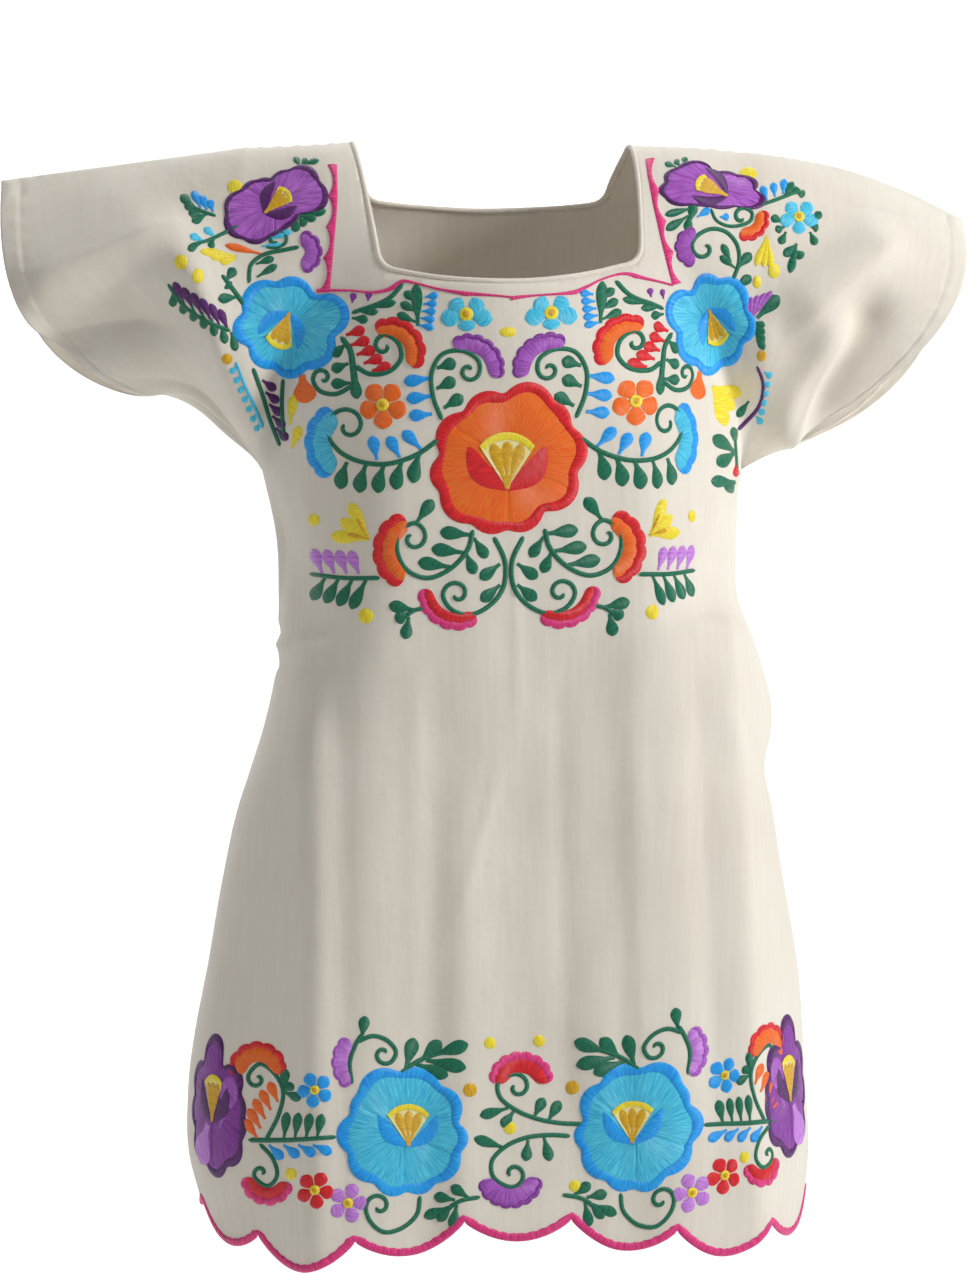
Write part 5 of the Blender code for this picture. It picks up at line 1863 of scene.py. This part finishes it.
HEM_HALF = (
    Bloom(
        x_px=404.0,
        y_px=1133.0,
        lobes=(
            Lobe(turn=33.7, reach=44.0, swell=22.0),
            Lobe(turn=74.0, reach=42.0, swell=26.0),
            Lobe(turn=117.0, reach=44.0, swell=26.0),
            Lobe(turn=145.0, reach=42.0, swell=20.0),
            Lobe(turn=182.0, reach=48.0, swell=20.0),
            Lobe(turn=219.0, reach=43.0, swell=23.0),
            Lobe(turn=256.0, reach=46.0, swell=19.0),
            Lobe(turn=288.0, reach=46.0, swell=18.0),
            Lobe(turn=322.0, reach=42.0, swell=24.0),
            Lobe(turn=354.0, reach=50.0, swell=15.0),
        ),
        core=49.0,
        rim=10.0,
        rim_thread=Thread.BLUE,
        fill_thread=Thread.CYAN,
        wedge=Wedge(dx_px=4.0, dy_px=13.0, size=41.0, spread=34.0, leaf=Thread.BLUE),
    ),
    Bloom(
        x_px=214.0,
        y_px=1108.0,
        lobes=(
            Lobe(turn=4.0, reach=28.0, swell=19.0),
            Lobe(turn=48.0, reach=36.0, swell=18.0),
            Lobe(turn=96.0, reach=54.0, swell=18.0),
            Lobe(turn=140.0, reach=40.0, swell=18.0),
            Lobe(turn=190.0, reach=34.0, swell=18.0),
            Lobe(turn=236.0, reach=46.0, swell=17.0),
            Lobe(turn=272.0, reach=50.0, swell=18.0),
            Lobe(turn=304.0, reach=44.0, swell=18.0),
            Lobe(turn=334.0, reach=32.0, swell=19.0),
        ),
        core=40.0,
        rim=8.0,
        rim_thread=Thread.PLUM,
        fill_thread=Thread.PURPLE,
        wraps=True,
        wedge=Wedge(dx_px=0.0, dy_px=13.0, size=44.0, spread=22.0, leaf=Thread.PLUM, leaf_width=0.30),
        petals=(
            Drops(1, 206.0, 1124.0, 206.0, 1124.0, first_tip=(-18, 40), last_tip=(-18, 40), width=24.0,
                  thread=Thread.LILAC, base=1.0, lift=0.5),
            Drops(1, 226.0, 1126.0, 226.0, 1126.0, first_tip=(16, -50), last_tip=(16, -50), width=20.0,
                  thread=Thread.MAUVE, base=0.9, lift=0.5),
        ),
    ),
    Fan(257.5, 1072.0, inner=10.0, outer=31.0, start=-6.0, stop=190.0, scallops=7, rim=6.0,
        rim_thread=Thread.RED, fill_thread=Thread.ORANGE),
    Fan(268.0, 1177.0, inner=11.0, outer=29.0, start=180.0, stop=345.0, scallops=6, rim=7.0,
        rim_thread=Thread.PINK, fill_thread=Thread.RED),
    Fan(368.0, 1062.0, inner=20.0, outer=37.0, start=130.0, stop=232.0, scallops=5, rim=5.0,
        rim_thread=Thread.MAUVE, fill_thread=Thread.LILAC),
    Stem(x_px=(266, 279, 283, 274, 260, 251), y_px=(1140, 1114, 1091, 1073, 1064, 1071), width=3.6,
         curl=Curl(257.0, 1079.0, turns=0.9, clockwise=False)),
    Drops(5, 278, 1102, 258, 1139, first_tip=(-9, -20), last_tip=(-14, -20), width=7.5, thread=Thread.ORANGE,
          bow=-3.0),
    Drops(3, 283, 1091, 284, 1092, first_tip=(3, -22), last_tip=(17, 7), width=7.5),
    Daisy(315.0, 1090.0, radius=18.0, turn=115.0, petal_width=0.56, thread=Thread.BLUE),
    Stem(x_px=(249, 290, 336), y_px=(1140, 1140, 1137), width=4.2),
    Drops(4, 284, 1139, 317, 1138, first_tip=(3, -27), last_tip=(5, -24), width=7.5),
    Drops(4, 269, 1145, 313, 1145, first_tip=(14, 14), last_tip=(19, 8), width=8.0, thread=Thread.BLUE),
    Stem(x_px=(260, 273, 277, 268, 257), y_px=(1144, 1159, 1176, 1186, 1180), width=3.6,
         curl=Curl(261.0, 1173.0, turns=0.8, clockwise=True)),
    Disc(291.0, 1174.0, 6.0),
    Daisy(315.0, 1190.0, radius=19.0, turn=62.0, petal_width=0.56, thread=Thread.RED),
    Daisy(348.0, 1203.0, radius=20.0, turn=72.0, petal_width=0.54, thread=Thread.LILAC),
    Stem(x_px=(352, 350, 356, 362), y_px=(1084, 1062, 1044, 1034), width=3.8),
    Drops(1, 362, 1038, 362, 1038, first_tip=(3, -22), last_tip=(3, -22), width=8.5),
    Stem(x_px=(357, 373, 388, 396, 391), y_px=(1042, 1036, 1041, 1052, 1062), width=3.8,
         curl=Curl(384.0, 1054.0, turns=0.8, clockwise=True)),
    Stem(x_px=(400, 418, 440), y_px=(1074, 1061, 1053), width=4.0),
    Drops(3, 406, 1068, 434, 1055, first_tip=(8, -30), last_tip=(34, -11), width=11.0),
    Drops(2, 426, 1060, 416, 1064, first_tip=(40, 8), last_tip=(32, 12), width=11.0),
    Stem(x_px=(420, 417, 402, 384, 370, 366), y_px=(1196, 1214, 1228, 1232, 1221, 1207), width=3.8,
         curl=Curl(379.0, 1206.0, turns=0.95, clockwise=True)),
    Stem(x_px=(480, 458, 437), y_px=(1197, 1202, 1220), width=3.6),
    Drops(2, 455, 1200, 469, 1198, first_tip=(-21, -4), last_tip=(-18, -12), width=8.5),
    Drops(3, 449, 1207, 457, 1205, first_tip=(-25, 10), last_tip=(-5, 24), width=8.5, bow=2.0),
    Disc(470.0, 1090.0, 7.0, thread=Thread.GOLD),
)

HEM_MIDDLE = (
    Disc(490.0, 1043.0, 6.0),
    Disc(539.0, 1041.0, 6.0),
    Disc(510.0, 1128.0, 6.5),
    Disc(575.0, 1186.0, 6.0),
    Fan(521.0, 1087.0, inner=14.0, outer=36.0, start=8.0, stop=172.0, scallops=8, rim=8.0,
        rim_thread=Thread.PINK, fill_thread=Thread.RED),
    Fan(510.0, 1172.0, inner=16.0, outer=37.0, start=196.0, stop=348.0, scallops=8, rim=5.0,
        rim_thread=Thread.PURPLE, fill_thread=Thread.MAUVE),
    Stem(x_px=(583, 560, 538, 516, 500, 498, 508), y_px=(1124, 1123, 1119, 1110, 1097, 1083, 1076), width=3.8,
         curl=Curl(517.0, 1087.0, turns=0.95, clockwise=True)),
    Stem(x_px=(570, 548, 525, 505, 492, 493, 504), y_px=(1136, 1135, 1138, 1147, 1161, 1176, 1185), width=3.8,
         curl=Curl(513.0, 1174.0, turns=0.95, clockwise=False)),
    Drops(2, 508, 1108, 514, 1111, first_tip=(-28, 8), last_tip=(-12, 16), width=8.5),
    Drops(2, 534, 1117, 548, 1121, first_tip=(10, -19), last_tip=(12, -20), width=8.5),
    Drops(1, 505, 1148, 505, 1148, first_tip=(-31, -10), last_tip=(-31, -10), width=8.5),
    Drops(2, 528, 1140, 544, 1137, first_tip=(-2, 21), last_tip=(6, 24), width=8.5),
)


@dataclass(frozen=True)
class Pattern:
    """A part of the embroidery: what is stitched once, and what is stitched on both halves."""

    label: str
    middle: tuple
    half: tuple
    plan: MirrorPlan

    def stitch(self, view: PhotoView, panel: ClothPanel, tree: BVHTree, finishes: dict) -> list[bpy.types.Object]:
        """Stitch it on a panel.

        Args:
            view: The camera whose pixels place the shapes.
            panel: The panel to stitch on.
            tree: The outer faces of the whole blouse.
            finishes: The materials by slot name.

        Returns:
            One piece for each thread.
        """
        bench = Bench(view, panel, tree, f"{self.label}_{panel.form.side.name.lower()}")
        for shape in self.middle + self.half:
            shape.stitch(bench)
        bench.mirror = self.plan
        for shape in self.half:
            shape.stitch(bench)
        return bench.finish(finishes)


YOKE_PATTERN = Pattern("yoke", YOKE_MIDDLE + LEFT_SHOULDER + RIGHT_SHOULDER + NECK_BORDER, YOKE_HALF, YOKE_MIRROR)
HEM_PATTERN = Pattern("hem", HEM_MIDDLE, HEM_HALF, HEM_MIRROR)


@dataclass(frozen=True)
class SoftBox:
    """A soft square light: where it stands, where it points, its size in metres and its power in watts."""

    name: str
    place: tuple[float, float, float]
    target: tuple[float, float, float]
    size: float
    power: float

    def add(self) -> None:
        """Add the light."""
        data = bpy.data.lights.new(self.name, "AREA")
        data.shape = "SQUARE"
        data.size = self.size
        data.energy = self.power
        lamp = bpy.data.objects.new(self.name, data)
        bpy.context.scene.collection.objects.link(lamp)
        lamp.location = self.place
        aim = Vector(self.target) - Vector(self.place)
        lamp.rotation_euler = aim.to_track_quat("-Z", "Y").to_euler()


@dataclass(frozen=True)
class Studio:
    """A plain pale floor and even soft light, stronger from the viewer's upper right."""

    floor_z: float = -0.86
    world: tuple[float, float, float, float] = (1.0, 0.98, 0.95, 1.0)
    world_strength: float = 0.20
    wall_y: float = 3.4
    lights: tuple[SoftBox, ...] = (
        SoftBox("key", (2.0, -1.1, 0.9), (0.0, 0.0, -0.30), 0.5, 45.0),
        SoftBox("top", (-0.9, -0.6, 1.6), (-0.12, 0.0, -0.15), 0.8, 7.0),
        SoftBox("back_fill", (-0.8, 2.2, 0.9), (0.0, 0.0, -0.35), 1.6, 6.0),
        SoftBox("wall_wash", (0.0, 1.9, 2.6), (0.0, 3.4, 1.0), 1.8, 130.0),
    )

    def add(self) -> None:
        """Add the floor and its wall, the sky and the lights, and set plain colour."""
        mesh = bpy.data.meshes.new("studio_floor")
        reach = 6.0
        floor_z, wall_y = self.floor_z, self.wall_y
        corners = [(-reach, -reach, floor_z), (reach, -reach, floor_z), (reach, wall_y, floor_z)]
        corners += [(-reach, wall_y, floor_z), (reach, wall_y, 4.0), (-reach, wall_y, 4.0)]
        mesh.from_pydata(corners, [], [(0, 1, 2, 3), (3, 2, 4, 5)])
        floor = bpy.data.objects.new("studio_floor", mesh)
        bpy.context.scene.collection.objects.link(floor)
        paint = bpy.data.materials.new("studio_floor")
        paint.use_nodes = True
        paint.node_tree.nodes["Principled BSDF"].inputs["Base Color"].default_value = (0.9, 0.9, 0.9, 1.0)
        paint.node_tree.nodes["Principled BSDF"].inputs["Roughness"].default_value = 0.95
        mesh.materials.append(paint)
        world = bpy.data.worlds.new("studio")
        world.use_nodes = True
        sky = world.node_tree.nodes["Background"]
        sky.inputs["Color"].default_value = self.world
        sky.inputs["Strength"].default_value = self.world_strength
        bpy.context.scene.world = world
        for light in self.lights:
            light.add()
        bpy.context.scene.view_settings.view_transform = "Standard"


FRONT_NECK = NeckCut(
    left_top=-0.096,
    right_top=0.083,
    left_low=-0.083,
    right_low=0.083,
    left_z=-0.087,
    middle_z=-0.0945,
    right_z=-0.083,
    corner=0.013,
)
BACK_NECK = NeckCut(
    left_top=-0.096,
    right_top=0.083,
    left_low=-0.086,
    right_low=0.076,
    left_z=-0.030,
    middle_z=-0.034,
    right_z=-0.030,
    corner=0.012,
)


def sleeves(side: Side) -> tuple[SleeveHalf, SleeveHalf]:
    """The left and right sleeve halves of a panel."""
    front = side is Side.FRONT
    left = SleeveHalf(
        tip_x=-0.317,
        tip_z=-0.0237,
        end_x=-0.224,
        end_z=-0.160,
        swell=2.5 if front else 2.3,
        climb=1.6 if front else 1.5,
        top_bow=0.0,
        under_bow=0.018,
    )
    right = SleeveHalf(
        tip_x=0.2995,
        tip_z=-0.0430,
        end_x=0.176,
        end_z=-0.191,
        swell=2.4 if front else 2.6,
        climb=1.0 if front else 1.25,
        top_bow=0.008,
        under_bow=0.0,
    )
    return left, right


@dataclass
class Blouse:
    """The whole garment: two panels, their hem stitching, the neck's binding and the embroidery."""

    front: ClothPanel = field(init=False)
    back: ClothPanel = field(init=False)

    def cut(self) -> None:
        """Work out both cloth panels."""
        left, right = sleeves(Side.FRONT)
        self.front = ClothPanel(
            "cotton_front",
            ClothForm(Side.FRONT, left, right, FRONT_FOLDS, FRONT_CREASES, FRONT_NECK),
        )
        left, right = sleeves(Side.BACK)
        self.back = ClothPanel(
            "cotton_back",
            ClothForm(Side.BACK, left, right, BACK_FOLDS, BACK_CREASES, BACK_NECK),
        )

    def sew(self, finishes: dict) -> list[bpy.types.Object]:
        """Make the cloth, the binding and the stitched hems.

        Args:
            finishes: The materials by slot name.

        Returns:
            The pieces made.
        """
        pieces = []
        for panel, node in ((self.front, "front_panel"), (self.back, "back_panel")):
            cloth = panel.build(finishes["cotton"])
            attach(cloth, "root")
            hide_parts(node)
            hem = HemSatin(panel, panel.name.replace("cotton", "hem_satin")).build(finishes["thread_pink"])
            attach(hem, "root")
            width, length = panel.flat_size()
            area = panel.flat_area()
            LOG.info("%s: %.3f x %.3f m, %.4f m2 of cloth", cloth.name, width, length, area)
            pieces += [cloth, hem]
        binding = NeckBinding("neck_roll").build(self.front, self.back, finishes["bias_binding"])
        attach(binding, "root")
        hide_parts("neck_binding")
        return pieces + [binding]

    def embroider(self, view: PhotoView, finishes: dict) -> list[bpy.types.Object]:
        """Stitch the yoke on the front and the hem band all round.

        Args:
            view: The camera whose pixels place the shapes.
            finishes: The materials by slot name.

        Returns:
            The stitched pieces.
        """
        points, faces = self.front.outer_faces()
        more_points, more_faces = self.back.outer_faces()
        faces = faces + [[index + len(points) for index in face] for face in more_faces]
        tree = BVHTree.FromPolygons(points + more_points, faces)
        pieces = YOKE_PATTERN.stitch(view, self.front, tree, finishes)
        pieces += HEM_PATTERN.stitch(view, self.front, tree, finishes)
        pieces += HEM_PATTERN.stitch(view, self.back, tree, finishes)
        return pieces


def main() -> None:
    """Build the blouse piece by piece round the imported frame, and light it."""
    logging.basicConfig(level=logging.INFO, format="%(name)s: %(message)s")
    for item in bpy.context.selected_objects:
        item.select_set(False)
    finishes = {
        "cotton": CREAM_COTTON.build(),
        "bias_binding": CREAM_BIAS.build(),
        "seam_thread": SEAM_THREAD.build(),
    }
    finishes.update({thread.slot.value: thread.build() for thread in THREADS})
    view = PhotoView()
    view.add()
    Studio().add()
    blouse = Blouse()
    blouse.cut()
    pieces = blouse.sew(finishes)
    pieces += blouse.embroider(view, finishes)
    for piece in pieces:
        LOG.info("%s: %d faces", piece.name, len(piece.data.polygons))


if __name__ == "__main__":
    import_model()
    main()
